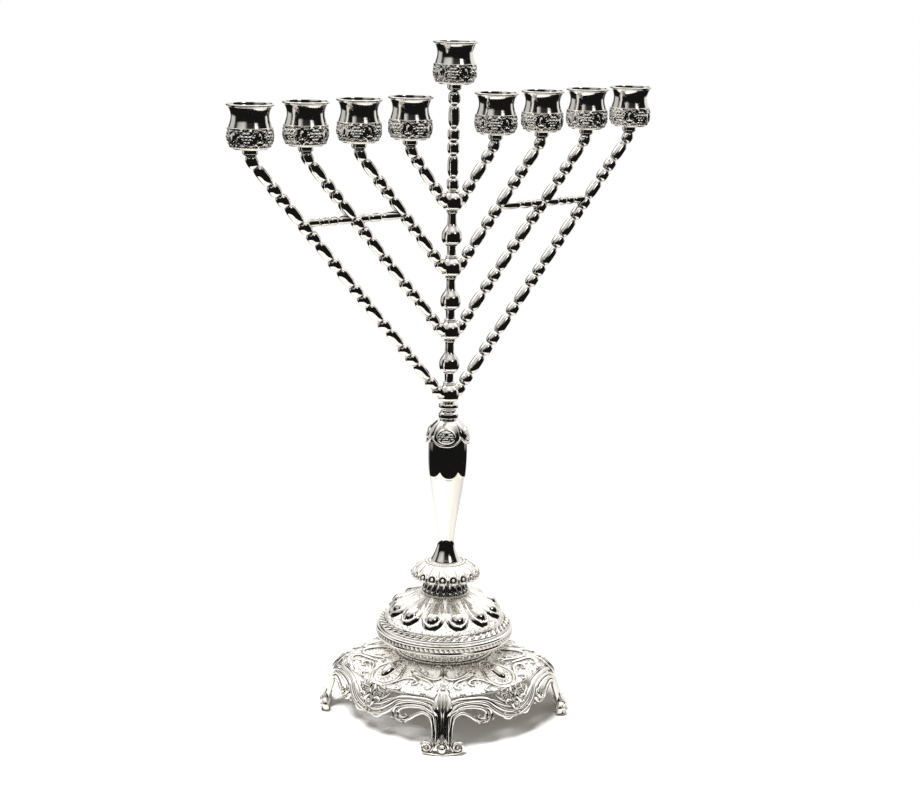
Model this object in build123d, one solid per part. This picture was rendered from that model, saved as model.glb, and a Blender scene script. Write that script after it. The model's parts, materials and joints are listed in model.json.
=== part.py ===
from build123d import *
import math
import os

# Nine-cup branched candle stand, in millimetres.
# +Z is up, Z = 0 is the floor, the Z axis is the central column and the branches spread along X.

# Overall layout
TOTAL_HEIGHT = 430.0
ARM_CUP_RIM_Z = 398.0
FULL_TURN = 360.0
HALF_TURN = 180.0
QUARTER_TURN = 90.0
CUP_HEIGHT = 25.8
CUP_PITCH = 37.8
CUP_INSET = 4.6
PAIRS = 4
HUB_Z = [333.0, 292.0, 252.0, 211.5]
SPACER_Z = [311.75, 271.0, 231.0]
FOOT_TURN = -38.3 - 90.0
RUN_GAP = 0.05

# Central rod and its nut
ROD_R = 2.0
ROD_BOTTOM = 28.0
ROD_TOP = 344.5
ROD_CHAMFER = 0.4
BORE_R = ROD_R + RUN_GAP
NUT_ACROSS_FLATS = 7.0
NUT_HEIGHT = 3.2
WASHER_R = 6.0
WASHER_THICK = 1.0

# Cups and their screws
CUP_RIM_R = 13.8
CUP_LIP = 0.9
CUP_WAIST_R = 11.2
CUP_WAIST_Z = 18.9
CUP_BAND_R = 12.4
CUP_BAND_Z = 12.0
CUP_BULGE_R = 13.6
CUP_BULGE_Z = 7.4
CUP_FOOT_R = 10.4
CUP_BORE_R = 10.0
CUP_FLOOR = 3.6
CUP_FLARE_R = 12.6
CUP_FLARE_DEPTH = 3.0
SCREW_R = 1.4
SCREW_HEAD_R = 2.6
SCREW_HEAD_HEIGHT = 1.3
SCREW_REACH = 5.0
SCREW_HOLE_SPARE = 0.5
SCREW_SINK = 1.6
SCREW_SINK_R = SCREW_HEAD_R + RUN_GAP
SCREW_HOLE_R = SCREW_R + RUN_GAP
SLOT_WIDTH = 0.7
SLOT_DEPTH = 0.6

# Beads of the arms, stem and tie bars
BEAD_R = 3.8
LONG_BEAD_R = 3.5
BEAD_NECK_R = 1.75
BEAD_LENGTH = 8.4
LONG_BEAD_LENGTH = 14.0
ARM_START_X = 5.5
ARM_DROP = 2.0
TIP_HEIGHT = 6.2
ARM_END_Z = ARM_CUP_RIM_Z - CUP_HEIGHT - TIP_HEIGHT
TIP_NECK_R = 2.6
TIP_COLLAR_R = 4.6
TIP_COLLAR_HEIGHT = 3.4
TIP_BEVEL = 1.1
ARM_BEADS = ["RRERR", "RRERRERRER", "RRERRERERRERRER", "RRERRERERRERERRERRER"]
STEM_BEADS = "RERRER"
STEM_COLLAR_R = 3.6
STEM_COLLAR_HEIGHT = 4.4
TIE_Z = 327.0
TIE_BEAD_R = 2.1
TIE_LONG_R = 1.9
TIE_NECK_R = 1.2
TIE_BEADS_OUTER = "ERRE"
TIE_BEADS_INNER = "RRE"

# Hubs, spacers and the ringed collar
BALL_R = 6.4
HUB_BELOW = 6.5
HUB_ABOVE = 6.0
HUB_SHOULDER_Z = 3.0
HUB_TOP_R = 3.4
NECK_R = 2.9
NECK_RING_R = 3.6
NECK_RING_HEIGHT = 1.2
COLLAR_BOTTOM = 194.1
COLLAR_RING_R = 6.13
COLLAR_GROOVE_R = 4.86
COLLAR_STEPS = [1.1, 4.7, 7.4]

# Petal cap and baluster
CAP_BOTTOM = 179.0
CAP_SEAT = 181.0
CAP_TIP_R = 13.67
CAP_MID_R = 11.2
CAP_MID_Z = 188.0
CAP_TOP_R = 7.0
PETALS = 4
PETAL_TURN = -43.3
PETAL_NOTCH = 4.5
NOTCH_TILT = 45.0
LOBES = 6
LOBE_TURN = -122.0
LOBE_GROOVE = 0.86
BALUSTER_BOTTOM = 101.0
BALUSTER_LOW = [(101.0, 8.7), (107.0, 6.9), (113.0, 5.5), (120.0, 5.95), (132.0, 8.0)]
BALUSTER_HIGH = [(143.0, 9.9), (154.0, 11.6), (163.0, 12.5), (172.0, 12.7), (181.0, 12.6)]
BALUSTER_SECTIONS = BALUSTER_LOW + BALUSTER_HIGH

# Knop and egg collar
KNOP_TOP_R = 11.2
KNOP_R = 21.5
KNOP_WIDEST_Z = 94.0
KNOP_SHOULDER_R = 17.8
KNOP_SHOULDER_Z = 98.6
KNOP_BOTTOM_R = 17.0
KNOP_BOTTOM = 90.0
COLLAR_R = 15.5
COLLAR_FOOT_R = 14.2
COLLAR_HEAD_R = 13.6
EGG_BOTTOM = 80.0
EGG_MIDDLE = 84.5

# Drip plate
PLATE_R = 44.1
PLATE_EDGE_Z = 59.7
PLATE_UNDER_R = 42.8
PLATE_UNDER_Z = 51.7
ROPE_R = 40.2
ROPE_Z = 61.6
DOME_R = 33.65
DOME_Z = 67.2
DRUM_R = 29.7
DRUM_TOP_Z = 49.5
PLATE_WALL = 1.8

# Skirt, legs and clamp plate
CROWN_R = 31.9
CROWN_Z = 41.0
CROWN_THICK = 3.0
CROWN_HOLE_R = 22.0
SKIRT_R = 66.0
SKIRT_EDGE_Z = 13.5
SKIRT_CURVE = [(45.0, 38.5), (57.0, 32.0), (64.0, 22.5)]
SKIRT_WALL = 2.2
CLAMP_R = 29.0
CLAMP_THICK = 2.0
LEGS = 4
LEG_PATH = [(52.0, 33.6), (64.0, 31.0), (73.0, 22.5), (74.5, 12.0), (73.5, 4.5)]
LEG_WIDTH = 13.5
LEG_THICK = 7.0
LEG_ROUND = 3.0
FOOT_R = 74.5
TOE_R = 5.0
TOE_SPREAD = 9.0
TOE_LENGTH = 10.0
TOE_ROUND = 1.2
ARCH_TURN = 14.0
ARCH_R = 8.0
SCALLOP_TURN = 30.0
SCALLOP_R = 3.6
PIERCING_TURN = 34.0
PIERCING_R = 1.9
PIERCING_Z = 21.0


def turned(outline):
    """A solid turned about Z from a closed outline of lines and curves in radius and height."""
    return revolve(Plane.XZ * make_face(outline), Axis.Z)


def turned_corners(corners):
    """A solid turned about Z from (radius, height) corners."""
    return turned(Polyline(*corners, close=True))


def bead_chain(letters, bead_r, long_r, neck_r, total):
    """Beads along Z, filling total: R is a round bead and E a long one."""
    sizes = {"R": (bead_r, BEAD_LENGTH), "E": (long_r, LONG_BEAD_LENGTH)}
    stretch = total / sum(sizes[letter][1] for letter in letters)
    outline = Line((0, 0), (neck_r, 0))
    z = 0.0
    for letter in letters:
        radius, natural = sizes[letter]
        top = z + natural * stretch
        outline += ThreePointArc((neck_r, z), (radius, (z + top) / 2), (neck_r, top))
        z = top
    outline += Polyline((neck_r, z), (0, z), (0, 0))
    return turned(outline)


def between(start, end):
    """A plane at start whose Z points to end."""
    return Plane(origin=start, z_dir=Vector(*end) - Vector(*start))


def tip(top_z):
    """The seat under a cup: a short neck and a collar, up to top_z on the Z axis."""
    neck_top = top_z - TIP_COLLAR_HEIGHT
    corners = [
        (0, top_z - TIP_HEIGHT),
        (TIP_NECK_R, top_z - TIP_HEIGHT),
        (TIP_NECK_R, neck_top),
        (TIP_COLLAR_R, neck_top + TIP_BEVEL),
        (TIP_COLLAR_R, top_z),
        (0, top_z),
    ]
    return turned_corners(corners)


def screw_hole(top_z):
    """The threaded hole in a cup seat, modelled as its clearance cylinder."""
    depth = SCREW_REACH + SCREW_HOLE_SPARE
    return Pos(0, 0, top_z - depth / 2) * Cylinder(SCREW_HOLE_R, depth)


def hub(z):
    """Ball with a bell-shaped top, centred at height z."""
    low_z = z - math.sqrt(BALL_R**2 - NECK_R**2)
    outline = Polyline((0, z - HUB_BELOW), (NECK_R, z - HUB_BELOW), (NECK_R, low_z))
    shoulder_r = math.sqrt(BALL_R**2 - HUB_SHOULDER_Z**2)
    outline += ThreePointArc((NECK_R, low_z), (BALL_R, z), (shoulder_r, z + HUB_SHOULDER_Z))
    outline += Polyline(
        (shoulder_r, z + HUB_SHOULDER_Z), (HUB_TOP_R, z + HUB_ABOVE), (0, z + HUB_ABOVE), (0, z - HUB_BELOW)
    )
    return turned(outline)


def rod_bore():
    """The clearance hole for the central rod."""
    return Pos(0, 0, (ROD_BOTTOM + ROD_TOP) / 2) * Cylinder(BORE_R, ROD_TOP - ROD_BOTTOM + 2 * RUN_GAP)


def cup_x(pair):
    """Distance of a pair's cups from the column, counting pairs from 1."""
    return CUP_PITCH * pair - CUP_INSET


def arm_start(pair):
    return (ARM_START_X, 0, HUB_Z[pair - 1] - ARM_DROP)


def arm_end(pair):
    return (cup_x(pair), 0, ARM_END_Z)


def arm(pair):
    """The right-hand beaded arm of a pair with its cup seat."""
    start = arm_start(pair)
    end = arm_end(pair)
    length = math.dist(start, end)
    beads = bead_chain(ARM_BEADS[pair - 1], BEAD_R, LONG_BEAD_R, BEAD_NECK_R, length)
    seat_z = ARM_CUP_RIM_Z - CUP_HEIGHT
    seat = Pos(cup_x(pair), 0, 0) * tip(seat_z)
    return between(start, end) * beads + seat - Pos(cup_x(pair), 0, 0) * screw_hole(seat_z)


def arm_pair(pair):
    """One casting: hub ball and two arms."""
    right = arm(pair)
    return hub(HUB_Z[pair - 1]) + right + Rot(0, 0, HALF_TURN) * right - rod_bore()


def arm_x_at(pair, z):
    """Where the centre line of an arm crosses a height."""
    start = arm_start(pair)
    end = arm_end(pair)
    return start[0] + (end[0] - start[0]) * (z - start[2]) / (end[2] - start[2])


def tie_bar(letters, outer_pair, pairs):
    """A beaded bar from an arm to the next one in, its ends shaped to the arms."""
    outer_x = arm_x_at(outer_pair, TIE_Z)
    inner_x = arm_x_at(outer_pair - 1, TIE_Z)
    beads = bead_chain(letters, TIE_BEAD_R, TIE_LONG_R, TIE_NECK_R, outer_x - inner_x)
    bar = between((outer_x, 0, TIE_Z), (inner_x, 0, TIE_Z)) * beads
    bar = bar - pairs[outer_pair] - pairs[outer_pair - 1]
    return bar.solids().sort_by(SortBy.VOLUME)[-1]


def spacer(index):
    """Ball with a neck above and below, between one hub and the next."""
    z = SPACER_Z[index]
    low = HUB_Z[index + 1] + HUB_ABOVE
    high = HUB_Z[index] - HUB_BELOW
    reach = math.sqrt(BALL_R**2 - NECK_R**2)
    outline = Polyline(
        (0, low),
        (NECK_RING_R, low),
        (NECK_RING_R, low + NECK_RING_HEIGHT),
        (NECK_R, low + NECK_RING_HEIGHT),
        (NECK_R, z - reach),
    )
    outline += ThreePointArc((NECK_R, z - reach), (BALL_R, z), (NECK_R, z + reach))
    outline += Polyline(
        (NECK_R, z + reach),
        (NECK_R, high - NECK_RING_HEIGHT),
        (NECK_RING_R, high - NECK_RING_HEIGHT),
        (NECK_RING_R, high),
        (0, high),
        (0, low),
    )
    return turned(outline) - rod_bore()


def shamash_stem():
    """Beaded upright over the top hub, carrying the raised cup."""
    low = HUB_Z[0] + HUB_ABOVE
    top = TOTAL_HEIGHT - CUP_HEIGHT
    beads_top = top - STEM_COLLAR_HEIGHT
    beads = bead_chain(STEM_BEADS, BEAD_R, LONG_BEAD_R, BEAD_NECK_R, beads_top - low)
    foot = Pos(0, 0, low + NECK_RING_HEIGHT / 2) * Cylinder(STEM_COLLAR_R, NECK_RING_HEIGHT)
    return Pos(0, 0, low) * beads + foot + tip(top) - screw_hole(top) - rod_bore()


def ringed_collar():
    """Two rings with a groove between, under the lowest hub."""
    z = COLLAR_BOTTOM
    top = HUB_Z[-1] - HUB_BELOW
    foot, ring_top, ring_low = (z + step for step in COLLAR_STEPS)
    corners = [
        (0, z),
        (COLLAR_GROOVE_R, z),
        (COLLAR_RING_R, foot),
        (COLLAR_RING_R, ring_top),
        (COLLAR_GROOVE_R, (ring_top + ring_low) / 2),
        (COLLAR_RING_R, ring_low),
        (COLLAR_RING_R, top),
        (0, top),
    ]
    return turned_corners(corners) - rod_bore()


def petal_cap():
    """Bell over the baluster's head, its lip cut into four petals."""
    outline = Polyline((0, COLLAR_BOTTOM), (0, CAP_BOTTOM), (CAP_TIP_R, CAP_BOTTOM))
    outline += Spline((CAP_TIP_R, CAP_BOTTOM), (CAP_MID_R, CAP_MID_Z), (CAP_TOP_R, COLLAR_BOTTOM))
    outline += Line((CAP_TOP_R, COLLAR_BOTTOM), (0, COLLAR_BOTTOM))
    seat_r = max(radius for _, radius in BALUSTER_HIGH) + 2 * RUN_GAP
    seat_depth = CAP_SEAT - CAP_BOTTOM
    cap = turned(outline) - Pos(0, 0, CAP_BOTTOM + seat_depth / 2) * Cylinder(seat_r, seat_depth)
    for petal in range(PETALS):
        turn = PETAL_TURN + (petal + 1 / 2) * FULL_TURN / PETALS
        diamond = Rot(NOTCH_TILT, 0, 0) * Box(PETAL_NOTCH, PETAL_NOTCH, PETAL_NOTCH)
        cap -= Rot(0, 0, turn) * Pos(seat_r, 0, CAP_BOTTOM) * diamond
    return cap - rod_bore()


def lobed_outline(radius):
    """A round-lobed ring of arcs, in the XY plane."""
    outline = None
    step = FULL_TURN / LOBES
    for lobe in range(LOBES):
        middle = LOBE_TURN + lobe * step
        groove = radius * LOBE_GROOVE
        corners = [(groove, middle - step / 2), (radius, middle), (groove, middle + step / 2)]
        arc = ThreePointArc(*(Vector(r, 0).rotate(Axis.Z, turn) for r, turn in corners))
        outline = arc if outline is None else outline + arc
    return make_face(outline)


def baluster():
    """Six-lobed stem that swells towards its head."""
    sections = [Pos(0, 0, z) * lobed_outline(radius) for z, radius in BALUSTER_SECTIONS]
    return loft(sections) - rod_bore()


def knop():
    """Flat bun under the baluster."""
    top = BALUSTER_BOTTOM - RUN_GAP
    outline = Polyline((0, top), (0, KNOP_BOTTOM), (KNOP_BOTTOM_R, KNOP_BOTTOM))
    outline += Spline(
        (KNOP_BOTTOM_R, KNOP_BOTTOM),
        (KNOP_R, KNOP_WIDEST_Z),
        (KNOP_SHOULDER_R, KNOP_SHOULDER_Z),
        (KNOP_TOP_R, top),
    )
    outline += Line((KNOP_TOP_R, top), (0, top))
    return turned(outline) - rod_bore()


def egg_collar():
    """Short collar between the drip plate and the knop."""
    outline = Polyline((0, KNOP_BOTTOM), (0, EGG_BOTTOM), (COLLAR_FOOT_R, EGG_BOTTOM))
    head = (COLLAR_HEAD_R, KNOP_BOTTOM)
    outline += ThreePointArc((COLLAR_FOOT_R, EGG_BOTTOM), (COLLAR_R, EGG_MIDDLE), head)
    outline += Line(head, (0, KNOP_BOTTOM))
    return turned(outline) - rod_bore()


def plate_outline(inset):
    """The drip plate's outer curve, drawn inward by inset for its inner face."""
    top = EGG_BOTTOM - inset
    head = (COLLAR_FOOT_R - inset, top)
    dome_foot = (ROPE_R - inset, ROPE_Z - inset)
    edge = (PLATE_R - inset, PLATE_EDGE_Z - inset)
    under = (PLATE_UNDER_R - inset, PLATE_UNDER_Z + inset)
    drum_top = (DRUM_R - inset, DRUM_TOP_Z + inset)
    outline = Line((0, top), head)
    outline += ThreePointArc(head, (DOME_R - inset, DOME_Z - inset), dome_foot)
    drum_foot = (DRUM_R - inset, CROWN_Z)
    outline += Polyline(dome_foot, edge, under, drum_top, drum_foot, (0, CROWN_Z), (0, top))
    return outline


def dome_plate():
    """Hollow domed drip plate with its neck drum."""
    return turned(plate_outline(0)) - turned(plate_outline(PLATE_WALL)) - rod_bore()


def around_legs(shape, turn):
    """Copies of a radial shape at an angle to each side of every leg."""
    copies = []
    for leg in range(LEGS):
        for side in (-1, 1):
            copies.append(Rot(0, 0, FOOT_TURN + leg * FULL_TURN / LEGS + side * turn) * shape)
    return copies


def radial_cylinder(radius, z):
    """A cylinder lying outwards from the axis, long enough to cross the skirt wall."""
    return Pos(SKIRT_R - LEG_WIDTH, 0, z) * Rot(0, QUARTER_TURN, 0) * Cylinder(radius, 2 * LEG_WIDTH)


def skirt_shell():
    """Flared apron, pierced and scalloped along its edge."""
    outer = [(CROWN_R, CROWN_Z), *SKIRT_CURVE, (SKIRT_R, SKIRT_EDGE_Z)]
    inner = [(r - SKIRT_WALL, z - SKIRT_WALL) for r, z in outer[1:-1]]
    under = (CROWN_HOLE_R, CROWN_Z - CROWN_THICK)
    inner_edge = (SKIRT_R - SKIRT_WALL, SKIRT_EDGE_Z)
    crown_under = (CROWN_R - SKIRT_WALL, CROWN_Z - CROWN_THICK)
    outline = Spline(*outer)
    outline += Line(outer[-1], inner_edge)
    outline += Spline(inner_edge, *reversed(inner), crown_under)
    outline += Polyline(crown_under, under, (CROWN_HOLE_R, CROWN_Z), outer[0])
    shell = turned(outline)
    cutters = around_legs(radial_cylinder(ARCH_R, SKIRT_EDGE_Z), ARCH_TURN)
    cutters += around_legs(radial_cylinder(SCALLOP_R, SKIRT_EDGE_Z), SCALLOP_TURN)
    cutters += around_legs(radial_cylinder(PIERCING_R, PIERCING_Z), PIERCING_TURN)
    for cutter in cutters:
        shell -= cutter
    return shell


def leg():
    """One cabriole leg with three toes, standing out along +X."""
    path = Plane.XZ * Spline(*LEG_PATH)
    section = Plane(origin=path @ 0, z_dir=path % 0, x_dir=(0, 1, 0))
    limb = sweep(section * RectangleRounded(LEG_WIDTH, LEG_THICK, LEG_ROUND), path)
    toe_z = TOE_R - TOE_ROUND
    for side in (-1, 0, 1):
        toe = Rot(0, QUARTER_TURN, 0) * Cylinder(TOE_R, TOE_LENGTH)
        limb += Pos(FOOT_R, side * TOE_SPREAD, toe_z) * toe
    under_floor = Pos(FOOT_R, 0, -LEG_WIDTH) * Box(FOOT_R, FOOT_R, 2 * LEG_WIDTH)
    return limb - under_floor


def base_skirt():
    """The cast base: apron and four legs in one piece."""
    skirt = skirt_shell()
    limb = leg()
    for index in range(LEGS):
        skirt += Rot(0, 0, FOOT_TURN + index * FULL_TURN / LEGS) * limb
    return skirt


def clamp_plate():
    """Disc that draws the skirt's crown up to the drum."""
    z = CROWN_Z - CROWN_THICK - CLAMP_THICK / 2
    return Pos(0, 0, z) * Cylinder(CLAMP_R, CLAMP_THICK) - rod_bore()


def washer_top():
    return CROWN_Z - CROWN_THICK - CLAMP_THICK - RUN_GAP


def rod_washer():
    return Pos(0, 0, washer_top() - WASHER_THICK / 2) * Cylinder(WASHER_R, WASHER_THICK) - rod_bore()


def rod_nut():
    hexagon = RegularPolygon(NUT_ACROSS_FLATS / 2, 6, major_radius=False)
    bottom = washer_top() - WASHER_THICK - NUT_HEIGHT
    return Pos(0, 0, bottom) * extrude(hexagon, NUT_HEIGHT) - rod_bore()


def tie_rod():
    """The threaded rod, modelled at its outside diameter."""
    length = ROD_TOP - ROD_BOTTOM
    rod = Pos(0, 0, ROD_BOTTOM + length / 2) * Cylinder(ROD_R, length)
    return chamfer(rod.edges(), ROD_CHAMFER)


def cup():
    """A cup standing on Z = 0: flared mouth, waist, rounded body, straight socket and screw hole."""
    lip_low = (CUP_RIM_R - CUP_LIP / 2, CUP_HEIGHT - CUP_LIP)
    lip_top = (CUP_RIM_R - CUP_LIP / 2, CUP_HEIGHT)
    outline = Polyline((SCREW_HOLE_R, RUN_GAP), (CUP_FOOT_R, RUN_GAP))
    outline += Spline(
        (CUP_FOOT_R, RUN_GAP),
        (CUP_BULGE_R, CUP_BULGE_Z),
        (CUP_BAND_R, CUP_BAND_Z),
        (CUP_WAIST_R, CUP_WAIST_Z),
        lip_low,
    )
    outline += ThreePointArc(lip_low, (CUP_RIM_R, CUP_HEIGHT - CUP_LIP / 2), lip_top)
    outline += Polyline(
        lip_top,
        (CUP_FLARE_R, CUP_HEIGHT),
        (CUP_BORE_R, CUP_HEIGHT - CUP_FLARE_DEPTH),
        (CUP_BORE_R, CUP_FLOOR),
        (SCREW_SINK_R, CUP_FLOOR),
        (SCREW_SINK_R, CUP_FLOOR - SCREW_SINK),
        (SCREW_HOLE_R, CUP_FLOOR - SCREW_SINK),
        (SCREW_HOLE_R, RUN_GAP),
    )
    return turned(outline)


def cup_screw():
    """Slotted screw for a cup standing on Z = 0."""
    head_z = CUP_FLOOR - SCREW_SINK + RUN_GAP
    shank = head_z + SCREW_REACH
    screw = Pos(0, 0, head_z - shank / 2) * Cylinder(SCREW_R, shank)
    screw += Pos(0, 0, head_z + SCREW_HEAD_HEIGHT / 2) * Cylinder(SCREW_HEAD_R, SCREW_HEAD_HEIGHT)
    slot = Pos(0, 0, head_z + SCREW_HEAD_HEIGHT) * Box(2 * SCREW_HEAD_R, SLOT_WIDTH, 2 * SLOT_DEPTH)
    return screw - slot


def cup_places():
    """Name and foot point of every cup, left to right, the raised one last."""
    places = {}
    arm_z = ARM_CUP_RIM_Z - CUP_HEIGHT
    for index in range(PAIRS):
        places[f"cup_{index + 1}"] = (-cup_x(PAIRS - index), 0, arm_z)
        places[f"cup_{PAIRS + index + 1}"] = (cup_x(index + 1), 0, arm_z)
    places["shamash_cup"] = (0, 0, TOTAL_HEIGHT - CUP_HEIGHT)
    return places


def all_parts():
    """Every node of the assembly by name."""
    pairs = {pair: arm_pair(pair) for pair in range(1, PAIRS + 1)}
    parts = {f"arm_pair_{pair}": shape for pair, shape in pairs.items()}
    for index in range(len(SPACER_Z)):
        parts[f"spacer_{index + 1}"] = spacer(index)
    outer_bar = tie_bar(TIE_BEADS_OUTER, PAIRS, pairs)
    inner_bar = tie_bar(TIE_BEADS_INNER, PAIRS - 1, pairs)
    parts["tie_bar_right_outer"] = outer_bar
    parts["tie_bar_right_inner"] = inner_bar
    parts["tie_bar_left_outer"] = Rot(0, 0, HALF_TURN) * outer_bar
    parts["tie_bar_left_inner"] = Rot(0, 0, HALF_TURN) * inner_bar
    parts["shamash_stem"] = shamash_stem()
    parts["ringed_collar"] = ringed_collar()
    parts["petal_cap"] = petal_cap()
    parts["baluster"] = baluster()
    parts["knop"] = knop()
    parts["egg_collar"] = egg_collar()
    parts["dome_plate"] = dome_plate()
    parts["base_skirt"] = base_skirt()
    parts["clamp_plate"] = clamp_plate()
    parts["rod_washer"] = rod_washer()
    parts["rod_nut"] = rod_nut()
    parts["tie_rod"] = tie_rod()
    places = cup_places()
    for name, place in places.items():
        parts[name] = Pos(*place) * cup()
    parts["cup_screws"] = Compound([Pos(*place) * cup_screw() for place in places.values()])
    return parts


os.makedirs("parts", exist_ok=True)
for name, shape in all_parts().items():
    export_step(shape, f"parts/{name}.step")
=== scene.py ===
import json
import math
from functools import reduce

import bmesh
import bpy
import numpy as np
from mathutils import Matrix, Vector


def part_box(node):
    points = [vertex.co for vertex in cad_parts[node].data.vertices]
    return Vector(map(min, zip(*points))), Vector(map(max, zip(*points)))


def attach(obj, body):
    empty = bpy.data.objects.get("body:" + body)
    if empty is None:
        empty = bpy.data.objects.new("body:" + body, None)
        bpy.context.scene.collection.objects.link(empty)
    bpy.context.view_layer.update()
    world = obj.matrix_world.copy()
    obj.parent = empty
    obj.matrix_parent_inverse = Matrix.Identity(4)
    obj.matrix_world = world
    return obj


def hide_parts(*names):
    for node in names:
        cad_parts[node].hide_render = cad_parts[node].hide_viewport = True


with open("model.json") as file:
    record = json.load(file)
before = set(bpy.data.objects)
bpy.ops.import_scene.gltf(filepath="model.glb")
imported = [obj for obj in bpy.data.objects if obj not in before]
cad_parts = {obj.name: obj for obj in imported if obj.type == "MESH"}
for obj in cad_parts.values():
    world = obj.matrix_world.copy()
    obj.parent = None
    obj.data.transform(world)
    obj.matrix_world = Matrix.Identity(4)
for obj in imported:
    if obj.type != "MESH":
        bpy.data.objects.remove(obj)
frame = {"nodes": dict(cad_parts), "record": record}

# Sizes are millimetres and named angles degrees; theta and a, and the angles of ellipsoid, are radians.
# mesh_object turns millimetres into metres. The floor and the key light are in metres from the start.
MM = 0.001
TAU = 2 * math.pi
TINY = 1e-9
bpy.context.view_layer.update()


# ---------------------------------------------------------------- frame values

def node_box(node):
    """Lowest and highest corner of a CAD node, in millimetres."""
    low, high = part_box(node)
    return np.array(low) / MM, np.array(high) / MM


def heights(node):
    """Lowest and highest z of a CAD node, in millimetres."""
    low, high = node_box(node)
    return low[2], high[2]


def body_of_node(node):
    for body, nodes in frame["record"]["behaviour"]["bodies"].items():
        if node in nodes:
            return body
    raise ValueError(node)


CUP_NODES = [f"cup_{index}" for index in range(1, 9)] + ["shamash_cup"]
PAIRS = 4
BALL_R = 6.4
HUB_BELOW = 6.5
HUB_ABOVE = 6
NECK_R = 2.9
BORE_R = 2.05
HUB_Z = [heights(f"arm_pair_{pair}")[0] + HUB_BELOW for pair in range(1, PAIRS + 1)]
SEAT_Z = heights("arm_pair_1")[1]
LEG_TURN = -128.3
LEGS = 4


# ---------------------------------------------------------------- points and curves

SCROLL_STEPS = 46
SCROLL_POWER = 3


def smooth(points, step, base=0):
    """A Catmull-Rom curve through points, sampled about every step. Their last coordinate starts at base."""
    p = np.array(points, float)
    p[:, -1] += base
    p = np.vstack([2 * p[0] - p[1], p, 2 * p[-1] - p[-2]])
    runs = []
    for a, b, c, d in zip(p[:-3], p[1:-2], p[2:-1], p[3:]):
        count = max(2, int(np.linalg.norm(c - b) / step))
        t = np.linspace(0, 1, count, endpoint=False)[:, None]
        cubic = 2 * b + (c - a) * t + (2 * a - 5 * b + 4 * c - d) * t**2 + (3 * b - a - 3 * c + d) * t**3
        runs.append(cubic / 2)
    return np.vstack(runs + [p[-2:-1]])


def straight(points, step, base=0):
    """Straight lines through points, sampled about every step. Their last coordinate starts at base."""
    p = np.array(points, float)
    p[:, -1] += base
    runs = []
    for a, b in zip(p[:-1], p[1:]):
        count = max(1, int(np.linalg.norm(b - a) / step))
        t = np.linspace(0, 1, count, endpoint=False)[:, None]
        runs.append(a + (b - a) * t)
    return np.vstack(runs + [p[-1:]])


def joined(*runs):
    """Runs of points as one run, without repeated neighbours."""
    points = np.vstack([np.asarray(run, float) for run in runs])
    gap = np.linalg.norm(np.diff(points, axis=0), axis=1)
    return points[np.concatenate([[True], gap > TINY])]


def lengths(points):
    """Running length along a run of points."""
    gaps = np.linalg.norm(np.diff(points, axis=0), axis=1)
    return np.concatenate([[0], np.cumsum(gaps)])


def at_length(points, distance):
    """Points at the given running lengths."""
    run = lengths(points)
    return np.stack([np.interp(distance, run, points[:, k]) for k in range(points.shape[1])], -1)


def unit(vectors):
    return vectors / np.maximum(np.linalg.norm(vectors, axis=-1, keepdims=True), TINY)


def scroll(start, end, curl):
    """A scroll between two points of a plane that bends gently, then curls at its end by curl degrees."""
    s = np.linspace(-1, 1, SCROLL_STEPS)
    rate = math.radians(curl) * (SCROLL_POWER + 1) * np.clip(s, 0, 1) ** SCROLL_POWER
    heading = np.concatenate([[0], np.cumsum((rate + math.radians(curl) / 6)[1:])]) * (s[1] - s[0])
    steps = np.stack([np.cos(heading), np.sin(heading)], -1)
    path = np.vstack([[0, 0], np.cumsum(steps[1:], axis=0)])
    turn = (complex(*end) - complex(*start)) / (complex(*path[-1]) - complex(*path[0]))
    placed = (path[:, 0] + 1j * path[:, 1] - complex(*path[0])) * turn + complex(*start)
    return np.stack([placed.real, placed.imag], -1)


def angles(columns):
    """Equal steps round a circle."""
    return np.linspace(0, TAU, columns, endpoint=False)


def around(radius, theta, height):
    """Points about the column."""
    return np.stack([radius * np.cos(theta), radius * np.sin(theta), height + 0 * theta], -1)


# ---------------------------------------------------------------- shells and pieces

CREASE = 55
MERGE = 1e-7


def grid_shell(points, wrap_rows=False):
    """A shell over a grid of points whose columns close round. It faces out where rows run up and columns
    anticlockwise."""
    rows, columns = points.shape[:2]
    i, j = np.meshgrid(np.arange(rows if wrap_rows else rows - 1), np.arange(columns), indexing="ij")
    up = (i + 1) % rows
    on = (j + 1) % columns
    quads = np.stack([i * columns + j, i * columns + on, up * columns + on, up * columns + j], -1)
    return points.reshape(-1, 3), quads.reshape(-1, 4)


def tube(line, rings):
    """A closed tube of rings of points about a line, drawn to a point at both ends."""
    first, last = (np.repeat(end[None, None], rings.shape[1], axis=1) for end in (line[0], line[-1]))
    return grid_shell(np.concatenate([first, rings, last]))


def turned(outline, columns, relief=None, centre=(0, 0, 0)):
    """A shell turned about a vertical line from a closed outline of (radius, height).
    relief(theta, radius, height) gives how far the surface stands out along the outline's normal."""
    outline = joined(outline)
    if np.linalg.norm(outline[0] - outline[-1]) < TINY:
        outline = outline[:-1]
    along = unit(np.roll(outline, -1, 0) - np.roll(outline, 1, 0))
    theta = angles(columns)[None, :]
    r = outline[:, 0:1] + 0 * theta
    z = outline[:, 1:2] + 0 * theta
    if relief is not None:
        height = relief(theta + 0 * r, r, z)
        r = r + height * along[:, 1:2]
        z = z - height * along[:, 0:1]
    return grid_shell(around(r, theta, z) + np.asarray(centre), wrap_rows=True)


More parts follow.
